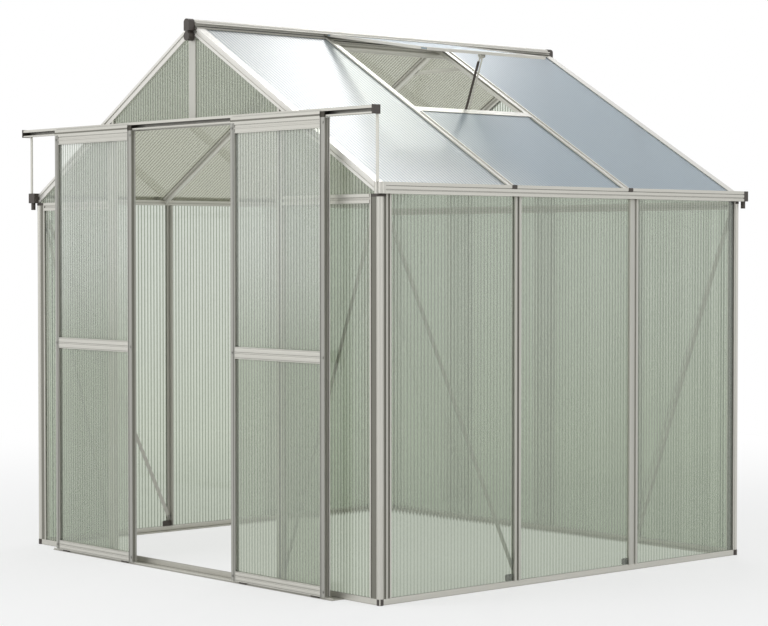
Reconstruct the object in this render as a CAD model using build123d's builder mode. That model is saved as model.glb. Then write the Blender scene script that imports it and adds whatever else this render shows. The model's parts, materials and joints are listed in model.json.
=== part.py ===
from build123d import *
import os
from math import atan2, cos, degrees, hypot, radians, sin, tan

# A garden greenhouse: an aluminium frame glazed with twin-wall panels, two hung sliding doors in the
# front gable and one roof vent on a stay. Millimetres, +Z up, X across the front, -Y the front.
# The origin is the middle of the plan, on the ground.

# Overall sizes
width = 2140.0
length = 1910.0
eave_height = 1417.0
roof_pitch = 30.6
roof_step = 30.0
rafter_spacing = 620.0
front_mullion_y = -290.0
back_mullion_y = 335.0
jamb_spacing = 1066.0

# Panels and their grooves
panel_t = 6.0
panel_clear = 0.3
edge_clear = 0.5

# Glazing bars
flange_t = 2.0
web_t = 4.0
bar_face = 32.0
bar_depth = 30.0
gable_bar_face = 40.0
wide_bar_face = 46.0
bar_rib_w = 11.0
bar_rib_h = 5.0

# Corner posts
nose_r = 11.0
nose_bore = 8.0
nose_inset = 6.0
nose_lap = 3.0
corner_leg = 50.0
rear_leg = 24.0
edge_strip_w = 6.0
edge_strip_h = 3.0
side_strip = 27.0

# Base frame
base_h = 22.0
base_flange = 45.0
ground_hole_d = 6.6
ground_hole_inset = 30.0
ground_hole_y = 600.0

# Gable rafters
gable_core = 14.0
gable_flange = 32.0
gable_lip = 26.0
gable_rib_w = 10.0
gable_rib_h = 4.0

# Roof rafters
rafter_rib_w = 6.0
rafter_rib_h = 4.0
vent_clear = 40.0

# Ridge bar and its end caps
ridge_w = 30.0
ridge_above = 15.0
ridge_below = 28.0
ridge_round = 11.0
ridge_wall = 2.0
ridge_neck = 6.0
ridge_tube_r = 12.0
ridge_tube_bore = 9.0
ridge_tube_drop = 50.0
ridge_cap_len = 28.0
ridge_cap_proud = 1.0
ridge_cap_lobe_r = 17.0
ridge_cap_neck = 14.0

# Gutters
gutter_reach = 32.0
gutter_h = 40.0
gutter_t = 2.0
gutter_wall = 3.5
gutter_lines = ((10.5, 15.0), (25.5, 28.5))
gutter_line_d = 2.5
gutter_lip = 5.0
gutter_channel = 6.0
roof_overhang = 6.0
seat_clear = 0.2
gutter_cap_len = 25.0
cap_plate = 6.0
cap_lobes = (3.0, 23.0)
spout_r = 9.0
spout_bore = 7.0
spout_len = 28.0

# Wind braces and collar ties
brace_w = 16.0
brace_t = 2.0
brace_bolt_r = 3.0
brace_hole_clear = 0.2
brace_end = 40.0
brace_post_offset = 30.0
brace_bar_offset = 11.0
nut_across = 10.0
nut_h = 4.0
tie_x = 150.0
tie_h = 14.0
tie_t = 3.0

# Door rail, its brackets, caps and struts
header_clear = 8.39
rail_h = 28.0
rail_depth = 32.0
rail_overhang = 23.0
rail_t = 2.0
rail_gap = 24.0
rail_low_lip = 5.0
rail_high_lip = 10.0
bracket_w = 40.0
bracket_h = 9.0
bracket_x = 420.0
rail_cap_t = 5.0
rail_cap_proud = 2.0
strut_out = 12.0
strut_w = 12.0
strut_t = 4.0

# Doors
door_w = 532.0
door_rest_x = 315.0
door_bottom = 9.0
door_depth = 22.0
door_rail_gap = 3.0
stile_w = 24.0
stile_tube = 14.0
door_wall = 1.6
door_groove = 9.0
stile_fin = 6.0
field_d = 1.5
field_lip = 3.0
field_rib = 4.0
line_d = 2.4
line_h = 3.0
line_drop = 6.0
top_bar_h = 37.0
cover_rise = 22.0
cover_t = 2.0
mid_bar_z = 848.0
mid_bar_h = 43.0
bottom_bar_h = 36.0
hanger_w = 40.0
hanger_t = 3.0
hanger_gap = 1.0
hanger_h = 20.0
axle_r = 3.0
axle_clear = 0.05
axle_in = 20.0
wheel_r = 9.0
wheel_w = 14.0
wheel_gap = 0.3
wheel_side_gap = 7.0
screw_r = 2.0
screw_head_r = 4.0
screw_head_h = 2.0
screw_len = 8.0
screw_clear = 0.1
screw_edge = 18.0

# Door floor track and guide shoes
track_plate = 2.0
track_front = 4.0
track_past = 33.0
upstand_t = 2.5
upstand_h = 5.5
shoe_len = 40.0
shoe_w = 14.0
shoe_clear = 0.4
shoe_lift = 1.0
shoe_inset = 60.0

# Roof vent, its sill, stay and peg
vent_w = 636.0
vent_open = 21.6
vent_lip = 2.2
vent_lift = 1.0
vent_bar = 22.0
vent_end = 606.0
vent_bottom_bar = 36.0
vent_web = 2.0
bead_r = 4.0
bead_clear = 0.1
socket_t = 2.5
socket_web = 1.5
socket_low = -62.0
socket_high = 24.0
socket_mouth = 1.4
neck_t = 3.0
neck_len = 12.0
stay_pivot_s = 572.0
stay_pivot_drop = 12.0
stay_w = 20.0
stay_t = 3.0
stay_slot = 8.0
stay_eye_r = 6.0
stay_pin_r = 2.5
stay_pin_clear = 0.05
stay_end = 13.0
ear_t = 3.0
ear_gap = 0.5
ear_w = 14.0
sill_s = 590.0
peg_r = 3.0
peg_len = 32.0
peg_below = 16.0

# Worked out from the sizes above
half_w = width / 2
half_l = length / 2
pitch = radians(roof_pitch)
apex_z = eave_height + roof_step + half_w * tan(pitch)
jamb_x = jamb_spacing / 2
rafter_ys = (-rafter_spacing / 2, rafter_spacing / 2)
mullion_ys = (front_mullion_y, back_mullion_y)
groove = panel_t + 2 * panel_clear
panel_d = flange_t + panel_clear
inner_d = flange_t + groove
frame_d = inner_d + flange_t
web_edge = web_t / 2 + edge_clear
corner_core = nose_inset + nose_r
corner_edge = corner_core + edge_clear
lip_start = corner_core - nose_lap
ridge_bottom = apex_z - ridge_below
ridge_top = apex_z + ridge_above
ridge_lip_s = (gable_bar_face / 2 + gable_flange * sin(pitch) + edge_clear) / cos(pitch)
roof_foot_s = (half_w + roof_overhang) / cos(pitch)
eave_bar_z = eave_height - bar_face / 2
header_top = apex_z - jamb_x * tan(pitch) - gable_flange / cos(pitch) - header_clear
header_z = header_top - bar_face / 2
rail_bottom = header_z - rail_h / 2
rail_half = half_w + rail_overhang
strut_x = half_w + strut_out
gutter_cap_y = half_l + gutter_cap_len
rail_back_y = -(half_l + rail_gap)
rail_front_y = rail_back_y - rail_depth
hanger_back_y = rail_front_y - hanger_gap
hanger_front_y = hanger_back_y - hanger_t
door_front_y = hanger_front_y - cover_t
door_back_y = door_front_y + door_depth
door_mid_y = (door_front_y + door_back_y) / 2
door_top = rail_bottom - door_rail_gap
axle_z = rail_bottom + rail_t + wheel_gap + wheel_r
wheel_back_y = rail_back_y - wheel_side_gap
door_edges = {"left": (-door_rest_x - door_w, -door_rest_x), "right": (door_rest_x, door_rest_x + door_w)}

os.makedirs("parts", exist_ok=True)


def finish(piece, name):
    """Label a finished sub-part and write it to its own file."""
    piece.part.label = name
    export_step(piece.part, f"parts/{name}.step")


def plate(x_low, x_high, y_low, y_high, mode=Mode.ADD):
    """A rectangle between two corners of the open sketch."""
    with Locations(((x_low + x_high) / 2, (y_low + y_high) / 2)):
        Rectangle(abs(x_high - x_low), abs(y_high - y_low), mode=mode)


def plane_at_y(y):
    """The upright plane across the house at one Y; it extrudes towards the front."""
    return Plane.XZ.offset(-y)


def side_wall(side, y, z):
    """Plan plane on a side wall: local x along the wall, local y outwards, 0 at its outer face."""
    return Plane(origin=(side * half_w, y, z), x_dir=(0, -side, 0), z_dir=(0, 0, 1))


def end_wall(end, x, z):
    """Plan plane on the front (-1) or back (1) wall: local y outwards, 0 at its outer face."""
    return Plane(origin=(x, end * half_l, z), x_dir=(end, 0, 0), z_dir=(0, 0, 1))


def end_wall_bar(end, x_low, x_high, z):
    """Section plane for a level bar in an end wall, extruded over x_high - x_low."""
    start = x_low if end < 0 else x_high
    return Plane(origin=(start, end * half_l, z), x_dir=(0, 0, 1), z_dir=(-end, 0, 0))


def roof_point(side, s, d):
    """Point on a roof slope: s down the slope from the apex, d below the slope's outer plane."""
    return (side * (s * cos(pitch) - d * sin(pitch)), apex_z - s * sin(pitch) - d * cos(pitch))


def square_cut(s):
    """An end cut square to the slope."""
    return lambda d: s


def plumb_cut(x):
    """An upright end cut at one distance from the ridge line."""
    return lambda d: (x + d * sin(pitch)) / cos(pitch)


def roof_layer(side, outer, inner, top, bottom):
    """One layer of a sloping bar or panel, seen along the ridge, between two depths and two end cuts."""
    Polygon(
        roof_point(side, top(outer), outer),
        roof_point(side, bottom(outer), outer),
        roof_point(side, bottom(inner), inner),
        roof_point(side, top(inner), inner),
    )


def roof_under_z(x, d):
    """Height of the plane at depth d under the roof, at distance x from the ridge line."""
    return apex_z - abs(x) * tan(pitch) - d / cos(pitch)


def glazing_bar(face=bar_face, ribs=True):
    """Section of a glazing bar: outer flange with two edge ribs, web and stem, and inner flange."""
    Rectangle(face, flange_t, align=(Align.CENTER, Align.MAX))
    if ribs:
        rib_x = (face - bar_rib_w) / 2
        with Locations((-rib_x, 0), (rib_x, 0)):
            Rectangle(bar_rib_w, bar_rib_h, align=(Align.CENTER, Align.MIN))
    Rectangle(web_t, bar_depth, align=(Align.CENTER, Align.MAX))
    with Locations((0, -inner_d)):
        Rectangle(bar_face, flange_t, align=(Align.CENTER, Align.MAX))


def corner_plate(sx, sy, a_low, a_high, b_low, b_high):
    """A rectangle in plan, measured inwards from a corner of the house: a along X, b along Y."""
    plate(sx * (half_w - a_low), sx * (half_w - a_high), sy * (half_l - b_low), sy * (half_l - b_high))


corners = [(sx, sy) for sx in (-1, 1) for sy in (-1, 1)]


# Base frame: an angle with two lips that hold the panels' lower edges
def base_section(sign, face):
    """Base rail section: the outer and inner lips and the ground flange, inwards from a wall face."""
    plate(sign * face, sign * (face - flange_t), 0, base_h)
    plate(sign * (face - inner_d), sign * (face - frame_d), 0, base_h)
    plate(sign * face, sign * (face - base_flange), 0, flange_t)


with BuildPart() as base_end_rails:
    for end in (-1, 1):
        with BuildSketch(Plane.YZ.offset(-(half_w - corner_core))):
            base_section(end, half_l)
        extrude(amount=2 * (half_w - corner_core))
    with BuildSketch(Plane.XY):
        for sx, sy in corners:
            corner_plate(sx, sy, corner_core, base_flange, corner_core, base_flange)
    extrude(amount=flange_t, mode=Mode.SUBTRACT)
finish(base_end_rails, "base_end_rails")

with BuildPart() as base_side_rails:
    for side in (-1, 1):
        with BuildSketch(plane_at_y(half_l - corner_core)):
            base_section(side, half_w)
        extrude(amount=2 * (half_l - corner_core))
    with BuildSketch(Plane.XY):
        for sx, sy in corners:
            with Locations((sx * (half_w - ground_hole_inset), sy * ground_hole_y)):
                Circle(ground_hole_d / 2)
    extrude(amount=flange_t, mode=Mode.SUBTRACT)
finish(base_side_rails, "base_side_rails")

with BuildPart() as base_corner_plugs:
    with BuildSketch(Plane.XY):
        for sx, sy in corners:
            corner_plate(sx, sy, 0, corner_core, 0, corner_core)
            with Locations((sx * (half_w - nose_inset), sy * (half_l - nose_inset))):
                Circle(nose_r)
    extrude(amount=base_h)
finish(base_corner_plugs, "base_corner_plugs")

# Wall posts and bars
with BuildPart() as corner_posts:
    with BuildSketch(Plane.XY.offset(base_h)):
        for sx, sy in corners:
            with Locations((sx * (half_w - nose_inset), sy * (half_l - nose_inset))):
                Circle(nose_r)
                Circle(nose_bore, mode=Mode.SUBTRACT)
            side_leg = corner_leg if sy < 0 else rear_leg
            corner_plate(sx, sy, 0, flange_t, lip_start, side_leg)
            corner_plate(sx, sy, lip_start, corner_leg, 0, flange_t)
            corner_plate(sx, sy, inner_d, frame_d, lip_start, corner_leg)
            corner_plate(sx, sy, lip_start, corner_leg, inner_d, frame_d)
            corner_plate(sx, sy, -edge_strip_h, 0, side_leg - edge_strip_w, side_leg)
            corner_plate(sx, sy, corner_leg - edge_strip_w, corner_leg, -edge_strip_h, 0)
            if sy < 0:
                corner_plate(sx, sy, -edge_strip_h, 0, side_strip, side_strip + edge_strip_w)
    extrude(amount=eave_height - base_h)
finish(corner_posts, "corner_posts")

with BuildPart() as side_wall_mullions:
    for side in (-1, 1):
        for y, face in zip(mullion_ys, (bar_face, wide_bar_face)):
            with BuildSketch(side_wall(side, y, base_h)):
                glazing_bar(face)
            extrude(amount=eave_height - base_h)
finish(side_wall_mullions, "side_wall_mullions")

for end, upright_name in ((-1, "door_jambs"), (1, "back_wall_mullions")):
    with BuildPart() as end_uprights:
        for side in (-1, 1):
            with BuildSketch(end_wall(end, side * jamb_x, base_h)):
                glazing_bar()
            extrude(amount=apex_z - base_h)
        for side in (-1, 1):
            cut_x, cut_z = roof_point(side, 0, gable_flange)
            under_rafter = Plane(origin=(cut_x, 0, cut_z), z_dir=(side * sin(pitch), 0, cos(pitch)))
            split(bisect_by=under_rafter, keep=Keep.BOTTOM)
    finish(end_uprights, upright_name)

with BuildPart() as gable_mullions:
    for end, z_low in ((-1, header_z + bar_face / 2), (1, base_h)):
        with BuildSketch(end_wall(end, 0, z_low)):
            glazing_bar(gable_bar_face, ribs=False)
        extrude(amount=ridge_bottom - z_low)
finish(gable_mullions, "gable_mullions")

with BuildPart() as door_header:
    header_half = jamb_x - bar_face / 2
    with BuildSketch(end_wall_bar(-1, -header_half, header_half, header_z)):
        glazing_bar()
    extrude(amount=2 * header_half)
finish(door_header, "door_header")

with BuildPart() as eave_bars:
    outer_low = jamb_x + bar_face / 2
    outer_high = half_w - corner_leg
    inner_low = gable_bar_face / 2
    inner_high = jamb_x - bar_face / 2
    eave_spans = [(-1, outer_low, outer_high), (1, outer_low, outer_high), (1, inner_low, inner_high)]
    for end, low, high in eave_spans:
        for x_low, x_high in ((low, high), (-high, -low)):
            with BuildSketch(end_wall_bar(end, x_low, x_high, eave_bar_z)):
                glazing_bar()
            extrude(amount=high - low)
finish(eave_bars, "eave_bars")


# Gutters, which also hold the tops of the side wall panels
def gutter_plate(side, u_low, u_high, v_low, v_high, mode=Mode.ADD):
    """A rectangle in a gutter's section: u outwards from the wall face, v up from the eave."""
    plate(side * (half_w + u_low), side * (half_w + u_high), eave_height + v_low, eave_height + v_high, mode)


def gutter_section(side):
    """Gutter section: the channel over the wall panels, then the trough with its lip and two outer lines."""
    seat = roof_step - inner_d / cos(pitch) - seat_clear
    gutter_plate(side, -frame_d, -inner_d, 0, gutter_channel + flange_t)
    gutter_plate(side, -frame_d, 0, gutter_channel, gutter_channel + flange_t)
    gutter_plate(side, -flange_t, 0, 0, seat)
    gutter_plate(side, 0, gutter_reach, 0, gutter_t)
    gutter_plate(side, gutter_reach - gutter_wall, gutter_reach, 0, gutter_h)
    gutter_plate(side, gutter_reach - gutter_lip, gutter_reach, gutter_h - gutter_t, gutter_h)
    for line_low, line_high in gutter_lines:
        gutter_plate(side, gutter_reach - gutter_line_d, gutter_reach, line_low, line_high, Mode.SUBTRACT)


for side, gutter_name in ((-1, "gutter_left"), (1, "gutter_right")):
    with BuildPart() as gutter:
        with BuildSketch(plane_at_y(half_l)):
            gutter_section(side)
        extrude(amount=length)
    finish(gutter, gutter_name)

# The left gutter drains at the front, the right one at the back; the other ends are closed
spout_u = gutter_reach / 2
spout_y = half_l + gutter_cap_len / 2
with BuildPart() as gutter_outlets:
    for side, end in ((-1, -1), (1, 1)):
        cap_high = gutter_cap_y if end > 0 else -half_l
        with BuildSketch(plane_at_y(cap_high)):
            gutter_plate(side, -frame_d, gutter_reach, 0, gutter_h)
        extrude(amount=gutter_cap_len)
        hollow_high = half_l + gutter_cap_len - gutter_t if end > 0 else -half_l
        with BuildSketch(plane_at_y(hollow_high)):
            gutter_plate(side, gutter_t, gutter_reach - gutter_t, gutter_t, gutter_h - gutter_t)
        extrude(amount=gutter_cap_len - gutter_t, mode=Mode.SUBTRACT)
        with BuildSketch(Plane.XY.offset(eave_height)):
            with Locations((side * (half_w + spout_u), end * spout_y)):
                Circle(spout_r)
        extrude(amount=-spout_len)
        with BuildSketch(Plane.XY.offset(eave_height + gutter_t)):
            with Locations((side * (half_w + spout_u), end * spout_y)):
                Circle(spout_bore)
        extrude(amount=-(spout_len + gutter_t), mode=Mode.SUBTRACT)
finish(gutter_outlets, "gutter_outlets")

# An end cap is a plate with two round lobes, one of which carries the strut
with BuildPart() as gutter_end_caps:
    lobe_r = gutter_cap_len / 2
    with BuildSketch(Plane.XY.offset(eave_height)):
        for side, end in ((-1, 1), (1, -1)):
            plate(
                side * (half_w - frame_d),
                side * (half_w + gutter_reach),
                end * half_l,
                end * (half_l + cap_plate),
            )
            with Locations(*[(side * (half_w + u), end * (half_l + lobe_r)) for u in cap_lobes]):
                Circle(lobe_r)
    extrude(amount=gutter_h)
finish(gutter_end_caps, "gutter_end_caps")

# Ridge bar: a rounded body with panel lips and hinge sockets on both sides, and a bolt tube below
hinge_h = vent_lift + vent_lip + groove / 2
hinge_x = ridge_w / 2 + bead_r + bead_clear + socket_web
hinge_z = roof_under_z(hinge_x, -hinge_h)
hinge_s = hinge_x * cos(pitch) + (apex_z - hinge_z) * sin(pitch)
socket_r = bead_r + bead_clear
mouth_reach = socket_mouth * (socket_r + socket_t)


def ridge_outline(grow=0.0, mode=Mode.ADD):
    """The ridge bar's body in section, with a rounded top, grown all round for the end cap."""
    side_x = ridge_w / 2 + grow
    with BuildLine() as outline:
        Polyline(
            (-side_x, ridge_top - ridge_round),
            (-side_x, ridge_bottom - grow),
            (side_x, ridge_bottom - grow),
            (side_x, ridge_top - ridge_round),
        )
        ThreePointArc(
            (side_x, ridge_top - ridge_round),
            (0, ridge_top + grow),
            (-side_x, ridge_top - ridge_round),
        )
    make_face(outline.edges(), mode=mode)


with BuildPart() as ridge_bar:
    with BuildSketch(plane_at_y(half_l)):
        ridge_outline()
        for side in (-1, 1):
            roof_layer(side, 0, flange_t, plumb_cut(0), square_cut(ridge_lip_s))
            roof_layer(side, inner_d, frame_d, plumb_cut(0), square_cut(ridge_lip_s))
            with Locations((side * hinge_x, hinge_z)):
                Circle(socket_r + socket_t)
        ridge_outline(-ridge_wall, Mode.SUBTRACT)
        for side in (-1, 1):
            with Locations((side * hinge_x, hinge_z)):
                Circle(socket_r, mode=Mode.SUBTRACT)
            mouth_rays = [radians(ray) for ray in (socket_low, (socket_low + socket_high) / 2, socket_high)]
            mouth_points = [
                (side * (hinge_x + mouth_reach * cos(ray)), hinge_z + mouth_reach * sin(ray))
                for ray in mouth_rays
            ]
            Polygon((side * hinge_x, hinge_z), *mouth_points, mode=Mode.SUBTRACT)
    extrude(amount=length)
    tube_half = half_l - bar_depth - edge_clear
    with BuildSketch(plane_at_y(tube_half)):
        tube_z = apex_z - ridge_tube_drop
        plate(-ridge_neck / 2, ridge_neck / 2, tube_z, ridge_bottom)
        with Locations((0, tube_z)):
            Circle(ridge_tube_r)
            Circle(ridge_tube_bore, mode=Mode.SUBTRACT)
    extrude(amount=2 * tube_half)
finish(ridge_bar, "ridge_bar")

with BuildPart() as ridge_end_caps:
    for end in (-1, 1):
        with BuildSketch(plane_at_y(half_l + ridge_cap_len if end > 0 else -half_l)):
            ridge_outline(ridge_cap_proud)
            lobe_z = apex_z - ridge_tube_drop
            plate(-ridge_cap_neck / 2, ridge_cap_neck / 2, lobe_z, ridge_bottom)
            with Locations((0, lobe_z)):
                Circle(ridge_cap_lobe_r)
        extrude(amount=ridge_cap_len)
finish(ridge_end_caps, "ridge_end_caps")

# Rafters
foot_x = half_w - frame_d
rafter_top = square_cut(ridge_lip_s)
rafter_foot = plumb_cut(foot_x)
flange_foot = square_cut(roof_foot_s)
above_eave = Plane.XY.offset(eave_height)

with BuildPart() as gable_rafters:
    gable_layers = [
        (0, bar_face, 0, flange_t, flange_foot),
        (0, gable_core, flange_t, gable_core, rafter_foot),
        (0, flange_t, flange_t, gable_flange, rafter_foot),
        (gable_core, gable_lip, inner_d, frame_d, rafter_foot),
        (inner_d, frame_d, gable_core, gable_lip, rafter_foot),
        (-gable_rib_h, 0, 0, gable_rib_w, rafter_foot),
        (-gable_rib_h, 0, gable_flange - gable_rib_w, gable_flange, rafter_foot),
    ]
    for end in (-1, 1):
        for side in (-1, 1):
            for a_low, a_high, outer, inner, foot in gable_layers:
                y_high = half_l - a_low if end > 0 else -half_l + a_high
                with BuildSketch(plane_at_y(y_high)):
                    roof_layer(side, outer, inner, rafter_top, foot)
                extrude(amount=a_high - a_low)
    split(bisect_by=above_eave, keep=Keep.TOP)
finish(gable_rafters, "gable_rafters")

stem_top = plumb_cut(ridge_w / 2)
rafter_layers = [
    (bar_face, 0, flange_t, rafter_top, flange_foot),
    (web_t, flange_t, inner_d, rafter_top, flange_foot),
    (bar_face, inner_d, frame_d, rafter_top, rafter_foot),
    (web_t, frame_d, bar_depth, stem_top, rafter_foot),
]
with BuildPart() as roof_rafters:
    rib_layers = [(1, rafter_top), (-1, square_cut(hinge_s + sill_s + vent_clear))]
    for side in (-1, 1):
        for y in rafter_ys:
            for layer_w, outer, inner, top, foot in rafter_layers:
                with BuildSketch(plane_at_y(y + layer_w / 2)):
                    roof_layer(side, outer, inner, top, foot)
                extrude(amount=layer_w)
            outward = 1 if y > 0 else -1
            for edge, top in rib_layers:
                rib_y = y + edge * outward * (bar_face - rafter_rib_w) / 2
                with BuildSketch(plane_at_y(rib_y + rafter_rib_w / 2)):
                    roof_layer(side, -rafter_rib_h, 0, top, flange_foot)
                extrude(amount=rafter_rib_w)
    split(bisect_by=above_eave, keep=Keep.TOP)
finish(roof_rafters, "roof_rafters")

with BuildPart() as collar_ties:
    tie_mid_z = roof_under_z(tie_x, (frame_d + bar_depth) / 2)
    for y in rafter_ys:
        with BuildSketch(plane_at_y(y + web_t / 2 + tie_t)):
            plate(-tie_x, tie_x, tie_mid_z - tie_h / 2, tie_mid_z + tie_h / 2)
        extrude(amount=tie_t)
finish(collar_ties, "collar_ties")

# Panels of the walls
for side, wall_name in ((-1, "left_wall_panels"), (1, "right_wall_panels")):
    bay_edges = [
        (-half_l + corner_edge, front_mullion_y - web_edge),
        (front_mullion_y + web_edge, back_mullion_y - web_edge),
        (back_mullion_y + web_edge, half_l - corner_edge),
    ]
    with BuildPart() as wall_panels:
        with BuildSketch(Plane.XY.offset(flange_t + edge_clear)):
            for y_low, y_high in bay_edges:
                plate(side * (half_w - panel_d), side * (half_w - panel_d - panel_t), y_low, y_high)
        extrude(amount=eave_height + gutter_channel - flange_t - 2 * edge_clear)
    finish(wall_panels, wall_name)

rafter_edge_d = gable_core + edge_clear
side_in = jamb_x + web_edge
side_out = half_w - corner_edge
low_z = flange_t + edge_clear
bar_low = eave_bar_z - web_edge
bar_high = eave_bar_z + web_edge
top_z = ridge_bottom - edge_clear
top_x = (apex_z - rafter_edge_d / cos(pitch) - top_z) / tan(pitch)


def gable_panel(side, z_low):
    """Outline of the panel between a jamb line, the gable mullion, the rafter and a level bar."""
    outer_x = jamb_x - web_edge
    Polygon(
        (side * web_edge, z_low),
        (side * outer_x, z_low),
        (side * outer_x, roof_under_z(outer_x, rafter_edge_d)),
        (side * top_x, top_z),
        (side * web_edge, top_z),
    )


def corner_panel(side):
    """Outline of the small panel over an eave bar, between the jamb line and the corner."""
    Polygon(
        (side * side_in, bar_high),
        (side * side_out, bar_high),
        (side * side_out, roof_under_z(side_out, rafter_edge_d)),
        (side * side_in, roof_under_z(side_in, rafter_edge_d)),
    )


front_panel_y = -half_l + panel_d + panel_t
back_panel_y = half_l - panel_d

with BuildPart() as front_wall_panels:
    with BuildSketch(plane_at_y(front_panel_y)):
        for side in (-1, 1):
            plate(side * side_in, side * side_out, low_z, bar_low)
            gable_panel(side, header_z + web_edge)
            corner_panel(side)
    extrude(amount=panel_t)
finish(front_wall_panels, "front_wall_panels")

with BuildPart() as back_wall_panels:
    with BuildSketch(plane_at_y(back_panel_y)):
        for side in (-1, 1):
            plate(side * side_in, side * side_out, low_z, bar_low)
            plate(side * web_edge, side * (jamb_x - web_edge), low_z, bar_low)
            gable_panel(side, bar_high)
            corner_panel(side)
    extrude(amount=panel_t)
finish(back_wall_panels, "back_wall_panels")

# Panels of the roof; the middle one on the right starts below the vent sill
panel_top = (ridge_w / 2 + edge_clear + (panel_d + panel_t) * sin(pitch)) / cos(pitch)
sill_top = hinge_s + sill_s
panel_foot = roof_foot_s - edge_clear
for side, roof_name in ((-1, "left_roof_panels"), (1, "right_roof_panels")):
    middle_top = panel_top if side < 0 else sill_top + web_t + edge_clear
    roof_bays = [
        (-half_l + gable_core + edge_clear, rafter_ys[0] - web_edge, panel_top),
        (rafter_ys[0] + web_edge, rafter_ys[1] - web_edge, middle_top),
        (rafter_ys[1] + web_edge, half_l - gable_core - edge_clear, panel_top),
    ]
    with BuildPart() as roof_panels:
        for y_low, y_high, bay_top in roof_bays:
            with BuildSketch(plane_at_y(y_high)):
                roof_layer(side, panel_d, panel_d + panel_t, square_cut(bay_top), square_cut(panel_foot))
            extrude(amount=y_high - y_low)
    finish(roof_panels, roof_name)

# Wind braces: flat straps inside the walls, nutted to the inner flanges
brace_hole = brace_bolt_r + brace_hole_clear
brace_high = eave_height - brace_end
brace_low = base_h + brace_end
side_braces = [
    (-half_l + brace_post_offset, front_mullion_y - brace_bar_offset),
    (half_l - brace_post_offset, back_mullion_y + brace_bar_offset),
]
end_brace = (half_w - brace_post_offset, jamb_x + brace_bar_offset)


def strap_places():
    """Each brace as its upright plane at the brace's outer face and the local x of its two ends."""
    for side in (-1, 1):
        inner_face = Plane(origin=(side * (half_w - frame_d), 0, 0), x_dir=(0, -side, 0), z_dir=(-side, 0, 0))
        for post_y, bar_y in side_braces:
            yield inner_face, -side * post_y, -side * bar_y
    for end in (-1, 1):
        inner_face = Plane(origin=(0, end * (half_l - frame_d), 0), x_dir=(end, 0, 0), z_dir=(0, -end, 0))
        for sign in (-1, 1):
            yield inner_face, sign * end_brace[0], sign * end_brace[1]


with BuildPart() as wind_braces:
    for inner_face, post_x, bar_x in strap_places():
        run_x = bar_x - post_x
        run_z = brace_low - brace_high
        with BuildSketch(inner_face):
            with Locations(((post_x + bar_x) / 2, (brace_low + brace_high) / 2)):
                SlotCenterToCenter(hypot(run_x, run_z), brace_w, rotation=degrees(atan2(run_z, run_x)))
            with Locations((post_x, brace_high), (bar_x, brace_low)):
                Circle(brace_hole, mode=Mode.SUBTRACT)
        extrude(amount=brace_t)
finish(wind_braces, "wind_braces")

with BuildPart() as brace_nuts:
    for inner_face, post_x, bar_x in strap_places():
        with BuildSketch(inner_face):
            with Locations((post_x, brace_high), (bar_x, brace_low)):
                Circle(brace_bolt_r)
        extrude(amount=brace_t + nut_h)
        with BuildSketch(inner_face.offset(brace_t)):
            with Locations((post_x, brace_high), (bar_x, brace_low)):
                RegularPolygon(nut_across / 2, 6, major_radius=False)
        extrude(amount=nut_h)
finish(brace_nuts, "brace_nuts")

# Door rail: a channel with a slot along its front, held off the header by brackets
rail_top = rail_bottom + rail_h
with BuildPart() as door_rail:
    with BuildSketch(Plane.YZ.offset(-rail_half)):
        plate(rail_front_y, rail_back_y, rail_bottom, rail_top)
        plate(rail_front_y + rail_t, rail_back_y - rail_t, rail_bottom + rail_t, rail_top - rail_t, Mode.SUBTRACT)
        plate(
            rail_front_y,
            rail_front_y + rail_t,
            rail_bottom + rail_low_lip,
            rail_top - rail_high_lip,
            Mode.SUBTRACT,
        )
    extrude(amount=2 * rail_half)
finish(door_rail, "door_rail")

with BuildPart() as rail_brackets:
    with BuildSketch(plane_at_y(-half_l)):
        for x in (-bracket_x, 0, bracket_x):
            plate(x - bracket_w / 2, x + bracket_w / 2, header_z - bracket_h / 2, header_z + bracket_h / 2)
    extrude(amount=rail_gap)
finish(rail_brackets, "rail_brackets")

with BuildPart() as rail_end_caps:
    for start in (-rail_half - rail_cap_t, rail_half):
        with BuildSketch(Plane.YZ.offset(start)):
            plate(
                rail_front_y - rail_cap_proud,
                rail_back_y + rail_cap_proud,
                rail_bottom - rail_cap_proud,
                rail_top + rail_cap_proud,
            )
        extrude(amount=rail_cap_t)
finish(rail_end_caps, "rail_end_caps")

with BuildPart() as rail_struts:
    with BuildSketch(plane_at_y(rail_back_y + strut_t)):
        for side in (-1, 1):
            plate(
                side * strut_x - strut_w / 2,
                side * strut_x + strut_w / 2,
                eave_height + gutter_h,
                rail_top,
            )
    extrude(amount=strut_t)
finish(rail_struts, "rail_struts")

# Floor track: a ground plate in front of the base with an upstand that guides the doors
track_half = door_rest_x + door_w + track_past
with BuildPart() as door_floor_track:
    with BuildSketch(Plane.YZ.offset(-track_half)):
        plate(door_mid_y - upstand_t / 2 - track_front, -half_l, 0, track_plate)
        plate(door_mid_y - upstand_t / 2, door_mid_y + upstand_t / 2, 0, track_plate + upstand_h)
    extrude(amount=2 * track_half)
finish(door_floor_track, "door_floor_track")

# Doors
panel_mid_low = door_mid_y - groove / 2
panel_mid_high = door_mid_y + groove / 2
tube_front = door_front_y + door_wall + field_d
tube_back = door_back_y - door_wall
mid_low = mid_bar_z - mid_bar_h / 2
mid_high = mid_bar_z + mid_bar_h / 2
bottom_high = door_bottom + bottom_bar_h
top_low = door_top - top_bar_h
screw_rows = (door_bottom + screw_edge, mid_bar_z, door_top - screw_edge)


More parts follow.
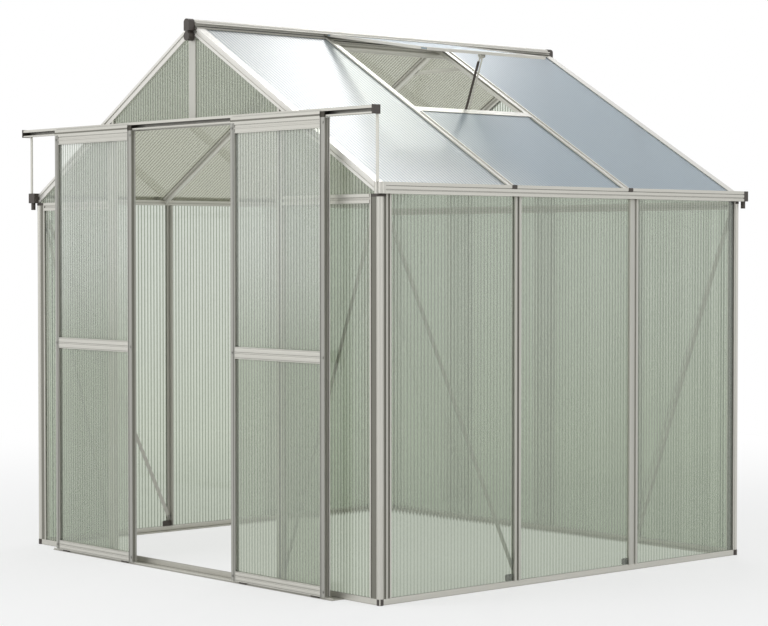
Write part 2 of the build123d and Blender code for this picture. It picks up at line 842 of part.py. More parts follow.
def hollow_bar(z_low, z_high, grooves):
    """Section of a level door bar in the Y-Z plane, hollow, with panel grooves and sunk front fields."""
    plate(door_front_y, door_back_y, z_low, z_high)
    z_mid = (z_low + z_high) / 2
    field_back = door_front_y + field_d
    plate(door_front_y, field_back, z_low + field_lip, z_mid - field_rib / 2, Mode.SUBTRACT)
    plate(door_front_y, field_back, z_mid + field_rib / 2, z_high - field_lip, Mode.SUBTRACT)
    hollow_low = z_low + door_wall
    hollow_high = z_high - door_wall
    if "below" in grooves:
        plate(panel_mid_low, panel_mid_high, z_low, z_low + door_groove, Mode.SUBTRACT)
        hollow_low += door_groove
    if "above" in grooves:
        plate(panel_mid_low, panel_mid_high, z_high - door_groove, z_high, Mode.SUBTRACT)
        hollow_high -= door_groove
    plate(tube_front, tube_back, hollow_low, hollow_high, Mode.SUBTRACT)


for hand, (x_low, x_high) in door_edges.items():
    bar_start = x_low + stile_w
    bar_end = x_high - stile_w
    screw_columns = (x_low + stile_tube / 2, x_high - stile_tube / 2)
    axle_xs = (bar_start + axle_in, x_high - axle_in)

    with BuildPart() as door_stiles:
        with BuildSketch(Plane.XY.offset(door_bottom)):
            for edge, inward in ((x_low, 1), (x_high, -1)):
                plate(edge, edge + inward * stile_w, door_front_y, door_back_y)
                hollow_end = edge + inward * (stile_tube - door_wall)
                plate(edge + inward * door_wall, hollow_end, tube_front, tube_back, Mode.SUBTRACT)
                groove_end = edge + inward * (stile_w - door_groove)
                plate(groove_end, edge + inward * stile_w, panel_mid_low, panel_mid_high, Mode.SUBTRACT)
                field_start = edge + inward * stile_tube
                field_end = edge + inward * (stile_w - field_lip)
                plate(field_start, field_end, door_front_y, door_front_y + field_d, Mode.SUBTRACT)
            fin_edge = x_low if hand == "left" else x_high
            fin_out = -stile_fin if hand == "left" else stile_fin
            plate(fin_edge, fin_edge + fin_out, door_back_y - door_wall, door_back_y)
        extrude(amount=door_top - door_bottom)
        with BuildSketch(plane_at_y(tube_front)):
            for x in screw_columns:
                for z in screw_rows:
                    with Locations((x, z)):
                        Circle(screw_r + screw_clear)
        extrude(amount=tube_front - door_front_y, mode=Mode.SUBTRACT)
    finish(door_stiles, f"{hand}_door_stiles")

    with BuildPart() as door_screws:
        for x in screw_columns:
            for z in screw_rows:
                with BuildSketch(plane_at_y(door_front_y)):
                    with Locations((x, z)):
                        Circle(screw_head_r)
                extrude(amount=screw_head_h)
                with BuildSketch(plane_at_y(door_front_y + screw_len)):
                    with Locations((x, z)):
                        Circle(screw_r)
                extrude(amount=screw_len)
    finish(door_screws, f"{hand}_door_screws")

    with BuildPart() as door_top_bar:
        with BuildSketch(Plane.YZ.offset(bar_start)):
            hollow_bar(top_low, door_top, ("below",))
            line_high = door_top - line_drop
            plate(door_front_y, door_front_y + field_d, line_high, door_top)
            plate(door_front_y, door_front_y + line_d, line_high - line_h, line_high, Mode.SUBTRACT)
        extrude(amount=bar_end - bar_start)
        with BuildSketch(Plane.YZ.offset(x_low)):
            plate(door_front_y, door_front_y + cover_t, door_top, door_top + cover_rise)
        extrude(amount=bar_end - x_low)
    finish(door_top_bar, f"{hand}_door_top_bar")

    with BuildPart() as door_mid_bar:
        with BuildSketch(Plane.YZ.offset(bar_start)):
            hollow_bar(mid_low, mid_high, ("below", "above"))
        extrude(amount=bar_end - bar_start)
    finish(door_mid_bar, f"{hand}_door_mid_bar")

    with BuildPart() as door_bottom_bar:
        with BuildSketch(Plane.YZ.offset(bar_start)):
            hollow_bar(door_bottom, bottom_high, ("above",))
        extrude(amount=bar_end - bar_start)
    finish(door_bottom_bar, f"{hand}_door_bottom_bar")

    with BuildPart() as door_panels:
        inset = door_groove - edge_clear
        with BuildSketch(plane_at_y(door_mid_y + panel_t / 2)):
            plate(bar_start - inset, bar_end + inset, bottom_high - inset, mid_low + inset)
            plate(bar_start - inset, bar_end + inset, mid_high - inset, top_low + inset)
        extrude(amount=panel_t)
    finish(door_panels, f"{hand}_door_panels")

    with BuildPart() as door_hangers:
        for hanger_low, axle_x in ((bar_start, axle_xs[0]), (x_high - hanger_w, axle_xs[1])):
            with BuildSketch(plane_at_y(hanger_back_y)):
                plate(hanger_low, hanger_low + hanger_w, door_top, door_top + hanger_h)
            extrude(amount=hanger_t)
            with BuildSketch(plane_at_y(wheel_back_y + hanger_t)):
                with Locations((axle_x, axle_z)):
                    Circle(axle_r)
            extrude(amount=wheel_back_y + hanger_t - hanger_back_y)
    finish(door_hangers, f"{hand}_door_hangers")

    for number, axle_x in enumerate(axle_xs, start=1):
        with BuildPart() as door_wheel:
            with BuildSketch(plane_at_y(wheel_back_y)):
                with Locations((axle_x, axle_z)):
                    Circle(wheel_r)
                    Circle(axle_r + axle_clear, mode=Mode.SUBTRACT)
            extrude(amount=wheel_w)
        finish(door_wheel, f"{hand}_door_wheel_{number}")

    with BuildPart() as guide_shoes:
        shoe_bottom = track_plate + shoe_lift
        for shoe_x in (x_low + shoe_inset, x_high - shoe_inset):
            with BuildSketch(Plane.YZ.offset(shoe_x - shoe_len / 2)):
                plate(door_mid_y - shoe_w / 2, door_mid_y + shoe_w / 2, shoe_bottom, door_bottom)
                slot_half = upstand_t / 2 + shoe_clear
                slot_top = track_plate + upstand_h + shoe_clear
                plate(door_mid_y - slot_half, door_mid_y + slot_half, shoe_bottom, slot_top, Mode.SUBTRACT)
            extrude(amount=shoe_len)
    finish(guide_shoes, f"{hand}_door_guide_shoes")

# Roof vent, drawn open on its stay: s down the vent from the hinge axis, h up from its mid plane
vent_slope = pitch - radians(vent_open)
hinge_origin = (hinge_x, 0, hinge_z)


def slope_vector(angle):
    """Unit vector down a slope that falls towards +X."""
    return (cos(angle), 0, -sin(angle))


vent_section = Plane(origin=hinge_origin, x_dir=slope_vector(vent_slope), z_dir=(0, -1, 0))
vent_half = vent_w / 2
vent_skin = groove / 2 + vent_lip
vent_top_end = neck_len + vent_bar
vent_low_start = vent_end - vent_bottom_bar

with BuildPart() as vent_hinge_bar:
    with BuildSketch(vent_section):
        Circle(bead_r)
        plate(0, neck_len + vent_web, -neck_t / 2, neck_t / 2)
        plate(neck_len, vent_top_end, -vent_skin, vent_skin)
        plate(neck_len + vent_web, vent_top_end, -groove / 2, groove / 2, Mode.SUBTRACT)
    extrude(amount=vent_half, both=True)
finish(vent_hinge_bar, "vent_hinge_bar")

with BuildPart() as vent_side_bars:
    along_vent = vent_section.from_local_coords((vent_top_end, 0, 0))
    with BuildSketch(Plane(origin=along_vent, x_dir=(0, 1, 0), z_dir=slope_vector(vent_slope))):
        for side in (-1, 1):
            plate(side * vent_half, side * (vent_half - vent_bar), -vent_skin, vent_skin)
            plate(
                side * (vent_half - vent_web),
                side * (vent_half - vent_bar),
                -groove / 2,
                groove / 2,
                Mode.SUBTRACT,
            )
    extrude(amount=vent_low_start - vent_top_end)
finish(vent_side_bars, "vent_side_bars")

ear_inner = stay_w / 2 + ear_gap
with BuildPart() as vent_bottom_rail:
    with BuildSketch(vent_section):
        plate(vent_low_start, vent_end, -vent_skin, vent_skin)
        plate(vent_low_start, vent_end - vent_lip, -groove / 2, groove / 2, Mode.SUBTRACT)
    extrude(amount=vent_half, both=True)
    for ear_y in (-ear_inner - ear_t / 2, ear_inner + ear_t / 2):
        with BuildSketch(vent_section.offset(-ear_y)):
            plate(
                stay_pivot_s - ear_w / 2,
                stay_pivot_s + ear_w / 2,
                -stay_pivot_drop,
                -groove / 2 - vent_lip / 2,
            )
            with Locations((stay_pivot_s, -stay_pivot_drop)):
                Circle(ear_w / 2)
                Circle(stay_pin_r + stay_pin_clear, mode=Mode.SUBTRACT)
        extrude(amount=ear_t / 2, both=True)
finish(vent_bottom_rail, "vent_bottom_bar")

with BuildPart() as vent_panel:
    with BuildSketch(vent_section):
        panel_start = neck_len + vent_web + edge_clear
        plate(panel_start, vent_end - vent_lip - edge_clear, -panel_t / 2, panel_t / 2)
    extrude(amount=vent_half - vent_web - edge_clear, both=True)
finish(vent_panel, "vent_panel")

with BuildPart() as stay_pin:
    with BuildSketch(vent_section):
        with Locations((stay_pivot_s, -stay_pivot_drop)):
            Circle(stay_pin_r)
    extrude(amount=ear_inner + ear_t, both=True)
finish(stay_pin, "stay_pin")

# The stay hangs along the line that its pivot takes from open to closed, with a slot over the peg
roof_section = Plane(origin=hinge_origin, x_dir=slope_vector(pitch), z_dir=(0, -1, 0))
pivot_open = vent_section.from_local_coords((stay_pivot_s, -stay_pivot_drop, 0))
pivot_shut = roof_section.from_local_coords((stay_pivot_s, -stay_pivot_drop, 0))
stay_travel = pivot_shut - pivot_open
stay_line = stay_travel.normalized()
stay_reach = stay_travel.length + peg_below
stay_plane = Plane(origin=pivot_open, x_dir=stay_line, z_dir=stay_line.cross(Vector(0, 1, 0)))

with BuildPart() as vent_stay:
    with BuildSketch(stay_plane):
        plate(0, stay_reach + stay_end, -stay_w / 2, stay_w / 2)
        slot_start = peg_below
        with Locations(((slot_start + stay_reach) / 2, 0)):
            SlotCenterToCenter(stay_reach - slot_start, stay_slot, mode=Mode.SUBTRACT)
    extrude(amount=stay_t / 2, both=True)
    with BuildSketch(Plane(origin=pivot_open, x_dir=(1, 0, 0), z_dir=(0, -1, 0))):
        Circle(stay_eye_r)
    extrude(amount=stay_w / 2, both=True)
    with BuildSketch(Plane(origin=pivot_open, x_dir=(1, 0, 0), z_dir=(0, -1, 0))):
        Circle(stay_pin_r + stay_pin_clear)
    extrude(amount=stay_w, both=True, mode=Mode.SUBTRACT)
finish(vent_stay, "vent_stay")

# Vent sill between the two inner rafters, with the peg that the stay's slot runs on
sill_half = rafter_spacing / 2 - bar_face / 2
with BuildPart() as vent_sill:
    with BuildSketch(roof_section):
        plate(sill_s, sill_s + web_t, -hinge_h - bar_depth, -hinge_h)
        plate(sill_s, sill_s + bar_face, -hinge_h - flange_t, -hinge_h)
        plate(sill_s, sill_s + bar_face, -hinge_h - frame_d, -hinge_h - inner_d)
    extrude(amount=sill_half, both=True)
    peg_local = roof_section.to_local_coords(pivot_shut + stay_line * peg_below)
    peg_root = roof_section.from_local_coords((sill_s, peg_local.Y, 0))
    with BuildSketch(Plane(origin=peg_root, x_dir=(0, 1, 0), z_dir=slope_vector(pitch))):
        Circle(peg_r)
    extrude(amount=-peg_len)
finish(vent_sill, "vent_sill")

print("apex", round(apex_z, 1), "door front", door_front_y, "axle z", axle_z)
print("hinge", [round(v, 2) for v in hinge_origin], "stay pivot", pivot_open, "reach", round(stay_reach, 1))
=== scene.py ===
# %% [markdown]
# # A garden greenhouse, dressed
#
# The solids of the greenhouse come from its imported model, in metres and in one frame: +Z is up, the front
# gable with its sliding doors faces -Y, and the origin is on the ground in the middle of the plan. This
# lesson adds what a drawing of solids can't show: the fluted sheets, the drawn lines of the bars, the
# finishes and the light.

# %% Load the frame
import json
import math

import bpy
import numpy as np
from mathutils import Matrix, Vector


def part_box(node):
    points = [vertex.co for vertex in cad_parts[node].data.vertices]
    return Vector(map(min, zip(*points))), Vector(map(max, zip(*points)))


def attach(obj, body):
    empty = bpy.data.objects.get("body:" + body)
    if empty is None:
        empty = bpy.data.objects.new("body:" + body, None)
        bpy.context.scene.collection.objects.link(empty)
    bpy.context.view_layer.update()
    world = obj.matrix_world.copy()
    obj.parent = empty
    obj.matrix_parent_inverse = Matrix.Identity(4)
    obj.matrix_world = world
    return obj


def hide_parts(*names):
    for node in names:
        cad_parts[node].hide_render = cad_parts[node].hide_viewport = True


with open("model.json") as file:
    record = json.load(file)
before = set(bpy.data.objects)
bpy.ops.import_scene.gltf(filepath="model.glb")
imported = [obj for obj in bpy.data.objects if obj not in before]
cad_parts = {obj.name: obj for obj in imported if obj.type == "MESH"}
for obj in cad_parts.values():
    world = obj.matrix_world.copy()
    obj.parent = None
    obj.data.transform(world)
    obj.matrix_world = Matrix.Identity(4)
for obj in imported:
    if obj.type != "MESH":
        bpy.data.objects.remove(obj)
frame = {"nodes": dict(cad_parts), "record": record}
scene = bpy.context.scene
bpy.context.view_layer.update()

# %% [markdown]
# ## The camera
#
# The picture was taken with a long lens from the front right corner, at about the height of the doors'
# middle. The camera's place was worked out from measured corners of the house: a long lens keeps the
# walls' lines nearly parallel, and a small downward pitch puts the eaves just above the middle of the
# frame.

# %% Camera
CAMERA_PLACE = Vector((6.716, -5.949, 1.228))
CAMERA_AZIMUTH = math.radians(48.4)
CAMERA_PITCH = math.radians(1.67)
LENS_MM = 103.17

camera_data = bpy.data.cameras.new("camera")
camera_data.lens = LENS_MM
camera = bpy.data.objects.new("camera", camera_data)
scene.collection.objects.link(camera)
camera.location = CAMERA_PLACE
gaze = Vector((
    -math.sin(CAMERA_AZIMUTH) * math.cos(CAMERA_PITCH),
    math.cos(CAMERA_AZIMUTH) * math.cos(CAMERA_PITCH),
    -math.sin(CAMERA_PITCH),
))
camera.rotation_mode = "QUATERNION"
camera.rotation_quaternion = gaze.to_track_quat("-Z", "Y")
scene.camera = camera
print("camera looks along", [round(v, 3) for v in gaze])

# %% [markdown]
# ## Colours and nodes
#
# Colours are written as sRGB hex values, the way a paint chart gives them, and one function turns them to
# the linear values that a shader works with. One more function adds a node, sets it up and links it, so
# that a material reads as a list of its nodes.


# %% Helpers for colours and nodes
def linear(code):
    """sRGB hex to linear RGBA: c/12.92 below 0.04045, else ((c + 0.055)/1.055) to the power 2.4."""
    srgb = np.array([int(code[i:i + 2], 16) for i in (1, 3, 5)]) / 255
    low = srgb / 12.92
    high = ((srgb + 0.055) / 1.055) ** 2.4
    return (*np.where(srgb <= 0.04045, low, high).tolist(), 1.0)


COLOURS = {"data_type": "RGBA"}


def add(tree, kind, settings=None, **inputs):
    """Add a node: settings go on the node, inputs are values or sockets for its sockets.

    A socket is given by its name, with _ for a space, or by _ and its index.
    """
    node = tree.nodes.new(kind)
    for name, value in (settings or {}).items():
        setattr(node, name, value)
    for name, value in inputs.items():
        key = int(name[1:]) if name.startswith("_") else name.replace("_", " ")
        socket = node.inputs[key]
        if isinstance(value, bpy.types.NodeSocket):
            tree.links.new(value, socket)
        else:
            socket.default_value = value
    return node


def new_material(name):
    """An empty node material with its output node."""
    material = bpy.data.materials.new(name)
    material.use_nodes = True
    material.node_tree.nodes.clear()
    tree = material.node_tree
    return material, tree, tree.nodes.new("ShaderNodeOutputMaterial")


print("white is", linear("#ffffff"))

# %% [markdown]
# ## Light, backdrop and floor
#
# A pale studio: a soft white world all round, one lamp up behind the left of the house, which the first
# roof bay mirrors towards the camera, one wide lamp at the front left for the gable and one at the right
# for the side wall. The world is plain white wherever it is seen, mirrored or looked at through a pane;
# only as a light is it weaker.

# %% World
WORLD_SOFT = 0.68
WHITE, STUDIO_AIR = "#ffffff", "#f4f6f8"
LARGER = {"operation": "MAXIMUM"}

world = bpy.data.worlds.new("studio")
scene.world = world
world.use_nodes = True
tree = world.node_tree
tree.nodes.clear()


def seen_rays(tree):
    """1 for rays that show things to the eye, straight, mirrored or through a pane; 0 for rays of light."""
    path = add(tree, "ShaderNodeLightPath")
    straight, through = path.outputs["Is Camera Ray"], path.outputs["Is Transmission Ray"]
    either = add(tree, "ShaderNodeMath", LARGER, _0=straight, _1=through)
    mirrored = path.outputs["Is Glossy Ray"]
    return add(tree, "ShaderNodeMath", LARGER, _0=either.outputs[0], _1=mirrored).outputs[0]


soft = add(tree, "ShaderNodeBackground", Color=linear(STUDIO_AIR), Strength=WORLD_SOFT)
shown = add(tree, "ShaderNodeBackground", Color=linear(WHITE), Strength=1.0)
both = add(tree, "ShaderNodeMixShader", _0=seen_rays(tree), _1=soft.outputs[0], _2=shown.outputs[0])
add(tree, "ShaderNodeOutputWorld", Surface=both.outputs[0])
scene.view_settings.view_transform = "Standard"
print("world", world.name)


# %% Lamps
def area_lamp(name, place, target, size, power):
    """A square lamp at a place, turned to a target."""
    data = bpy.data.lights.new(name, "AREA")
    data.shape = "SQUARE"
    data.size = size
    data.energy = power
    lamp = bpy.data.objects.new(name, data)
    scene.collection.objects.link(lamp)
    lamp.location = place
    aim = Vector(target) - Vector(place)
    lamp.rotation_mode = "QUATERNION"
    lamp.rotation_quaternion = aim.to_track_quat("-Z", "Y")


HOUSE_MIDDLE = (0.0, 0.0, 1.1)
ROOF_MIDDLE = (0.5, -0.5, 1.8)
KEY_PLACE, KEY_SIZE, KEY_POWER = (-3.5, 5.4, 7.5), 1.6, 75.0
FRONT_PLACE, FRONT_SIZE, FRONT_POWER = (-2.5, -8.0, 4.5), 4.0, 225.0
SIDE_PLACE, SIDE_SIZE, SIDE_POWER = (8.0, 1.5, 4.0), 4.0, 105.0
area_lamp("key_lamp", KEY_PLACE, ROOF_MIDDLE, KEY_SIZE, KEY_POWER)
area_lamp("front_lamp", FRONT_PLACE, HOUSE_MIDDLE, FRONT_SIZE, FRONT_POWER)
area_lamp("side_lamp", SIDE_PLACE, HOUSE_MIDDLE, SIDE_SIZE, SIDE_POWER)

# %% [markdown]
# The floor is a wide pale matt square. Near the house it takes the shadow; further out it fades to the
# white of the world, so that no horizon shows. The fade is a smooth step of the distance from the house's
# middle.

# %% Floor
FLOOR_HALF = 60.0
FLOOR_DROP = 0.0005
FLOOR_TONE, FLOOR_ROUGHNESS = "#f6f6f5", 0.9
FADE_NEAR, FADE_FAR = 1.5, 6.0
FADE_LEAST = 0.55
SMOOTH_STEP = {"interpolation_type": "SMOOTHSTEP"}

floor_mesh = bpy.data.meshes.new("floor")
floor_corners = np.array([[-1, -1], [1, -1], [1, 1], [-1, 1]]) * FLOOR_HALF
floor_points = np.column_stack([floor_corners, np.full(len(floor_corners), -FLOOR_DROP)])
floor_mesh.from_pydata(floor_points.tolist(), [], [(0, 1, 2, 3)])
floor = bpy.data.objects.new("floor", floor_mesh)
scene.collection.objects.link(floor)
floor_paint, tree, out = new_material("pale_matt_floor")
place = add(tree, "ShaderNodeTexCoord")
far = add(tree, "ShaderNodeVectorMath", {"operation": "LENGTH"}, _0=place.outputs["Object"])
fade = add(
    tree,
    "ShaderNodeMapRange",
    SMOOTH_STEP,
    Value=far.outputs["Value"],
    From_Min=FADE_NEAR,
    From_Max=FADE_FAR,
    To_Min=FADE_LEAST,
    To_Max=1.0,
)
share = add(tree, "ShaderNodeMath", {"operation": "MULTIPLY"}, _0=fade.outputs[0], _1=seen_rays(tree))
matt = add(tree, "ShaderNodeBsdfPrincipled", Base_Color=linear(FLOOR_TONE), Roughness=FLOOR_ROUGHNESS)
glow = add(tree, "ShaderNodeEmission", Color=linear(WHITE), Strength=1.0)
both = add(tree, "ShaderNodeMixShader", _0=share.outputs[0], _1=matt.outputs[0], _2=glow.outputs[0])
tree.links.new(both.outputs[0], out.inputs["Surface"])
floor_mesh.materials.append(floor_paint)
print("floor", floor.name)

# %% [markdown]
# ## Mill-finish aluminium
#
# The bars are extruded aluminium, left as they came from the die: a pale grey metal with fine draw lines
# along each bar, an uneven, slightly chalky sheen where the oxide has grown, and painted shade in every
# groove and corner. Draw lines are a few hundredths of a millimetre apart, too fine to show here, so they
# are drawn about a millimetre apart. A noise gives them, squeezed along the bar, so each bar's finish has
# to know which way it runs. The painted shade comes from the ambient occlusion node, which tells how shut
# in a point is, and darkens the colour there. Painting it by hand would need a map for every bar.

# %% Ways that the bars run
X, Y, Z = np.eye(3)
ROOF_PITCH = math.radians(30.6)
VENT_LIFT = math.radians(21.6)
VENT_PITCH = ROOF_PITCH - VENT_LIFT
DRAW_STRETCH = 60.0


def down_slope(side, pitch):
    """Unit vector down a slope that falls towards side times +X."""
    return np.array([side * math.cos(pitch), 0.0, -math.sin(pitch)])


def along_bar(tree, way, mirrored=False):
    """Object coordinates turned so that the first runs along the bar, where it is squeezed.

    Each new coordinate is the dot product of the place with one of three square axes. A mirrored bar, such
    as a rafter of either slope, reads the place's distance from the middle, so one slope is the other's
    mirror image.
    """
    place = add(tree, "ShaderNodeTexCoord").outputs["Object"]
    if mirrored:
        place = add(tree, "ShaderNodeVectorMath", {"operation": "ABSOLUTE"}, _0=place).outputs[0]
    side = np.cross(way, X if np.allclose(way, Y) else Y)
    side = side / np.linalg.norm(side)
    axes = (way / DRAW_STRETCH, side, np.cross(way, side))
    dot = {"operation": "DOT_PRODUCT"}
    dots = [add(tree, "ShaderNodeVectorMath", dot, _0=place, _1=axis.tolist()) for axis in axes]
    parts = {name: node.outputs["Value"] for name, node in zip("XYZ", dots)}
    return add(tree, "ShaderNodeCombineXYZ", **parts).outputs[0]


print("the right slope falls along", down_slope(1, ROOF_PITCH).round(3))

# %% Metal
MM = 1000.0
DRAW_MM, MOTTLE_MM = 1.2, 12.0
DRAW_SHARE = 0.4
ROUGH_DRIFT = 0.08
CLOUDY = {"Detail": 3.0, "Roughness": 0.6}
DRAWN = {"Detail": 2.0, "Roughness": 0.5}
# Painted shade: the colour that the ambient occlusion lays into grooves, corners and joints.
PAINTED_SHADE_TONE = "#55534b"
SHADE_REACH, SHADE_SHARE = 0.007, 0.85
SHADE_SHUT, SHADE_OPEN = 0.3, 0.85
SHADE_RAYS = {"samples": 6}


def metal(name, pale, deep, roughness, chalk, way=Z, mirrored=False, reach=SHADE_REACH, share=SHADE_SHARE):
    """Metal with draw lines and a blotchy oxide along its way, and painted shade where it is shut in within a
    reach.

    chalk is the share of matt oxide in it, from 0 for bright metal to 1 for a fully matt oxide; share is how
    much painted shade darkens the metal where it is most shut in.
    """
    material, tree, out = new_material(name)
    place = along_bar(tree, way, mirrored)
    cloud = add(tree, "ShaderNodeTexNoise", Vector=place, Scale=MM / MOTTLE_MM, **CLOUDY)
    lines = add(tree, "ShaderNodeTexNoise", Vector=place, Scale=MM / DRAW_MM, **DRAWN)
    drift = add(
        tree,
        "ShaderNodeMix",
        {"data_type": "FLOAT"},
        _0=DRAW_SHARE,
        _2=cloud.outputs["Fac"],
        _3=lines.outputs["Fac"],
    )
    tone = add(tree, "ShaderNodeMix", COLOURS, _0=drift.outputs[0], _6=linear(deep), _7=linear(pale))
    # Ambient occlusion gives painted shade where the metal is shut in.
    shut = add(tree, "ShaderNodeAmbientOcclusion", SHADE_RAYS, Distance=reach)
    painted_shade = add(
        tree,
        "ShaderNodeMapRange",
        Value=shut.outputs["AO"],
        From_Min=SHADE_SHUT,
        From_Max=SHADE_OPEN,
        To_Min=share,
        To_Max=0.0,
    )
    # worn is the tone with the painted shade laid in where the metal is shut in.
    worn = add(tree, "ShaderNodeMix", COLOURS, _0=painted_shade.outputs[0], _6=tone.outputs[2], _7=linear(PAINTED_SHADE_TONE))
    low, high = roughness - ROUGH_DRIFT, roughness + ROUGH_DRIFT
    sheen = add(tree, "ShaderNodeMapRange", Value=drift.outputs[0], To_Min=low, To_Max=high)
    shader = add(
        tree,
        "ShaderNodeBsdfPrincipled",
        Base_Color=worn.outputs[2],
        Metallic=1.0 - chalk,
        Roughness=sheen.outputs[0],
    )
    tree.links.new(shader.outputs[0], out.inputs["Surface"])
    return material


print("draw lines are drawn", DRAW_MM, "mm apart")

# %% [markdown]
# One alloy is given lighter and darker copies, bar by bar, that paint light and shade. The roof's bars,
# the vent and its sill are a lighter copy, a painted glare; the level bars and posts are plain mill finish;
# the wall bars and the braces are a darker copy, painted shade; and the doors' stiles are darkest, a
# painted dark reflection. The rail is a deep channel, so its painted shade reaches further; a flat strap
# has no grooves, so its painted shade keeps to its very edge.

# %% Metals
# Mill aluminium: bare extruded metal under a thin grey oxide, which the eye sees as half satin, half chalk.
MILL = {"pale": "#d9d7cf", "deep": "#b8b6ad", "roughness": 0.36, "chalk": 0.5}
# The same metal, lighter: a painted glare, nearly white, a little smoother, with light painted shade.
MILL_PAINTED_GLARE = {"pale": "#e8e6e0", "deep": "#d2d0c9", "roughness": 0.33, "chalk": 0.55, "share": 0.45}
# The same metal, darker: painted shade, an even mid grey that gives only a soft gleam.
MILL_PAINTED_SHADE = {"pale": "#c9c8c0", "deep": "#abaaa2", "roughness": 0.36, "chalk": 0.5, "share": 0.55}
# The same metal, darker, a painted dark reflection, and smoother, so that it mirrors its surroundings more.
MILL_PAINTED_DARK_REFLECTION = {"pale": "#b2b1aa", "deep": "#979690", "roughness": 0.32, "chalk": 0.45}
# Zinc-plated pressed steel: a cool, almost bare metal gleam, used for nuts, screws and pins.
ZINC = {"pale": "#a9a9a4", "deep": "#86867f", "roughness": 0.34, "chalk": 0.2}
# Blackened steel strip: a dark brown-black satin, used for the hangers that carry the doors.
BLACKENED = {"pale": "#4a453d", "deep": "#38342e", "roughness": 0.42, "chalk": 0.4}
RAIL_REACH, RAIL_SHARE = 0.03, 0.7
STRAP_REACH = 0.002
aluminium = {
    "x": metal("mill_aluminium_across", **MILL, way=X),
    "y": metal("mill_aluminium_along", **MILL, way=Y),
    "z": metal("mill_aluminium_upright", **MILL, way=Z),
    # The lighter copy paints glare; the darker copies paint shade, and the stiles' a dark reflection.
    "slope": metal("mill_aluminium_sloping", **MILL_PAINTED_GLARE, way=down_slope(1, ROOF_PITCH), mirrored=True),
    "vent": metal("mill_aluminium_vent", **MILL_PAINTED_GLARE, way=down_slope(1, VENT_PITCH)),
    "sill": metal("mill_aluminium_sill", **MILL_PAINTED_GLARE, way=Y),
    "rail": metal("mill_aluminium_rail", **MILL, way=X, reach=RAIL_REACH, share=RAIL_SHARE),
    "strap": metal("mill_aluminium_strap", **MILL_PAINTED_SHADE, way=Z, reach=STRAP_REACH),
    "mullion": metal("mill_aluminium_mullions", **MILL_PAINTED_SHADE, way=Z),
    "stile": metal("mill_aluminium_stiles", **MILL_PAINTED_DARK_REFLECTION, way=Z),
}
steel = metal("zinc_plated_steel", **ZINC)
black_steel = metal("blackened_steel", **BLACKENED)
print("metals", [finish.name for finish in aluminium.values()], steel.name, black_steel.name)

# %% [markdown]
# ## Plastic and rubber
#
# The plugs and clips are injection-moulded, and the brush seals are extruded rubber; the same black and
# grey also paint the shadow at the posts' heads, the shade in the channels and on the vent's stay, and the
# shadow line under the doors' cover plates. Both come out of a tool with a fine matt grain of a few tenths
# of a millimetre, too fine to show here, so it is drawn 2 mm wide. One noise lifts the colour and the
# surface together, as grain does where it catches the light.

# %% Plastics
GRAIN_MM = 2.0
GRAINY = {"Detail": 4.0, "Roughness": 0.6}
GRAIN_LIFT = {"Strength": 0.15, "Distance": 0.0005}


def plastic(name, shade, worn, roughness):
    """Plastic whose colour goes from shade to worn with a fine grain, which also raises it a little."""
    material, tree, out = new_material(name)
    place = add(tree, "ShaderNodeTexCoord").outputs["Object"]
    grain = add(tree, "ShaderNodeTexNoise", Vector=place, Scale=MM / GRAIN_MM, **GRAINY)
    speck = grain.outputs["Fac"]
    tone = add(tree, "ShaderNodeMix", COLOURS, _0=speck, _6=linear(shade), _7=linear(worn))
    bump = add(tree, "ShaderNodeBump", Height=speck, **GRAIN_LIFT)
    shader = add(
        tree,
        "ShaderNodeBsdfPrincipled",
        Base_Color=tone.outputs[2],
        Roughness=roughness,
        Normal=bump.outputs[0],
    )
    tree.links.new(shader.outputs[0], out.inputs["Surface"])
    return material


# Moulded polypropylene, black once and browned by the sun: a soft, broad gleam. The same black paints the
# shadow at the posts' heads and the shade on the vent's stay.
POLYPROPYLENE_AND_PAINTED_SHADE = {"shade": "#332e2a", "worn": "#4d453f", "roughness": 0.5}
# Extruded seal rubber, bloomed to a warm grey: almost no gleam. The same grey paints the shade in the
# posts' and bars' channels and the shadow line under the doors' cover plates.
RUBBER_AND_PAINTED_SHADE = {"shade": "#6a685f", "worn": "#817f75", "roughness": 0.65}
black_plastic = plastic("black_polypropylene_and_painted_shade", **POLYPROPYLENE_AND_PAINTED_SHADE)
seal_rubber_and_painted_shade = plastic("seal_rubber_and_painted_shade", **RUBBER_AND_PAINTED_SHADE)
print("plastics", black_plastic.name, seal_rubber_and_painted_shade.name)

# %% [markdown]
# ## Twin-wall sheet
#
# The panes are extruded twin-wall polycarbonate: two thin skins held apart by ribs. Between the ribs the
# skins sink a little, so the sheet bends light like a row of long lenses, and the ribs show as fine
# lines. Real ribs are about 6 mm apart, hardly more than a pixel here, so they are drawn 16 mm apart. The
# sheet is a little milky, most of all in the doors and the roof, and dust clouds it. A glass shader would
# keep lamps out of the house, because a lamp's light isn't traced through bent rays, so rays that only
# light or mirror things pass through a plain see-through shader instead.

# %% Twin-wall material
FLUTE = 0.016
HALF_TURN = 0.5
RIB_CORE, RIB_EDGE = 0.07, 0.19
DUST_MM = 90.0
DUST_SHARE = 0.35
PASSING = "#f0f1ee"
SHEET_ROUGHNESS, SHEET_IOR = 0.02, 1.5


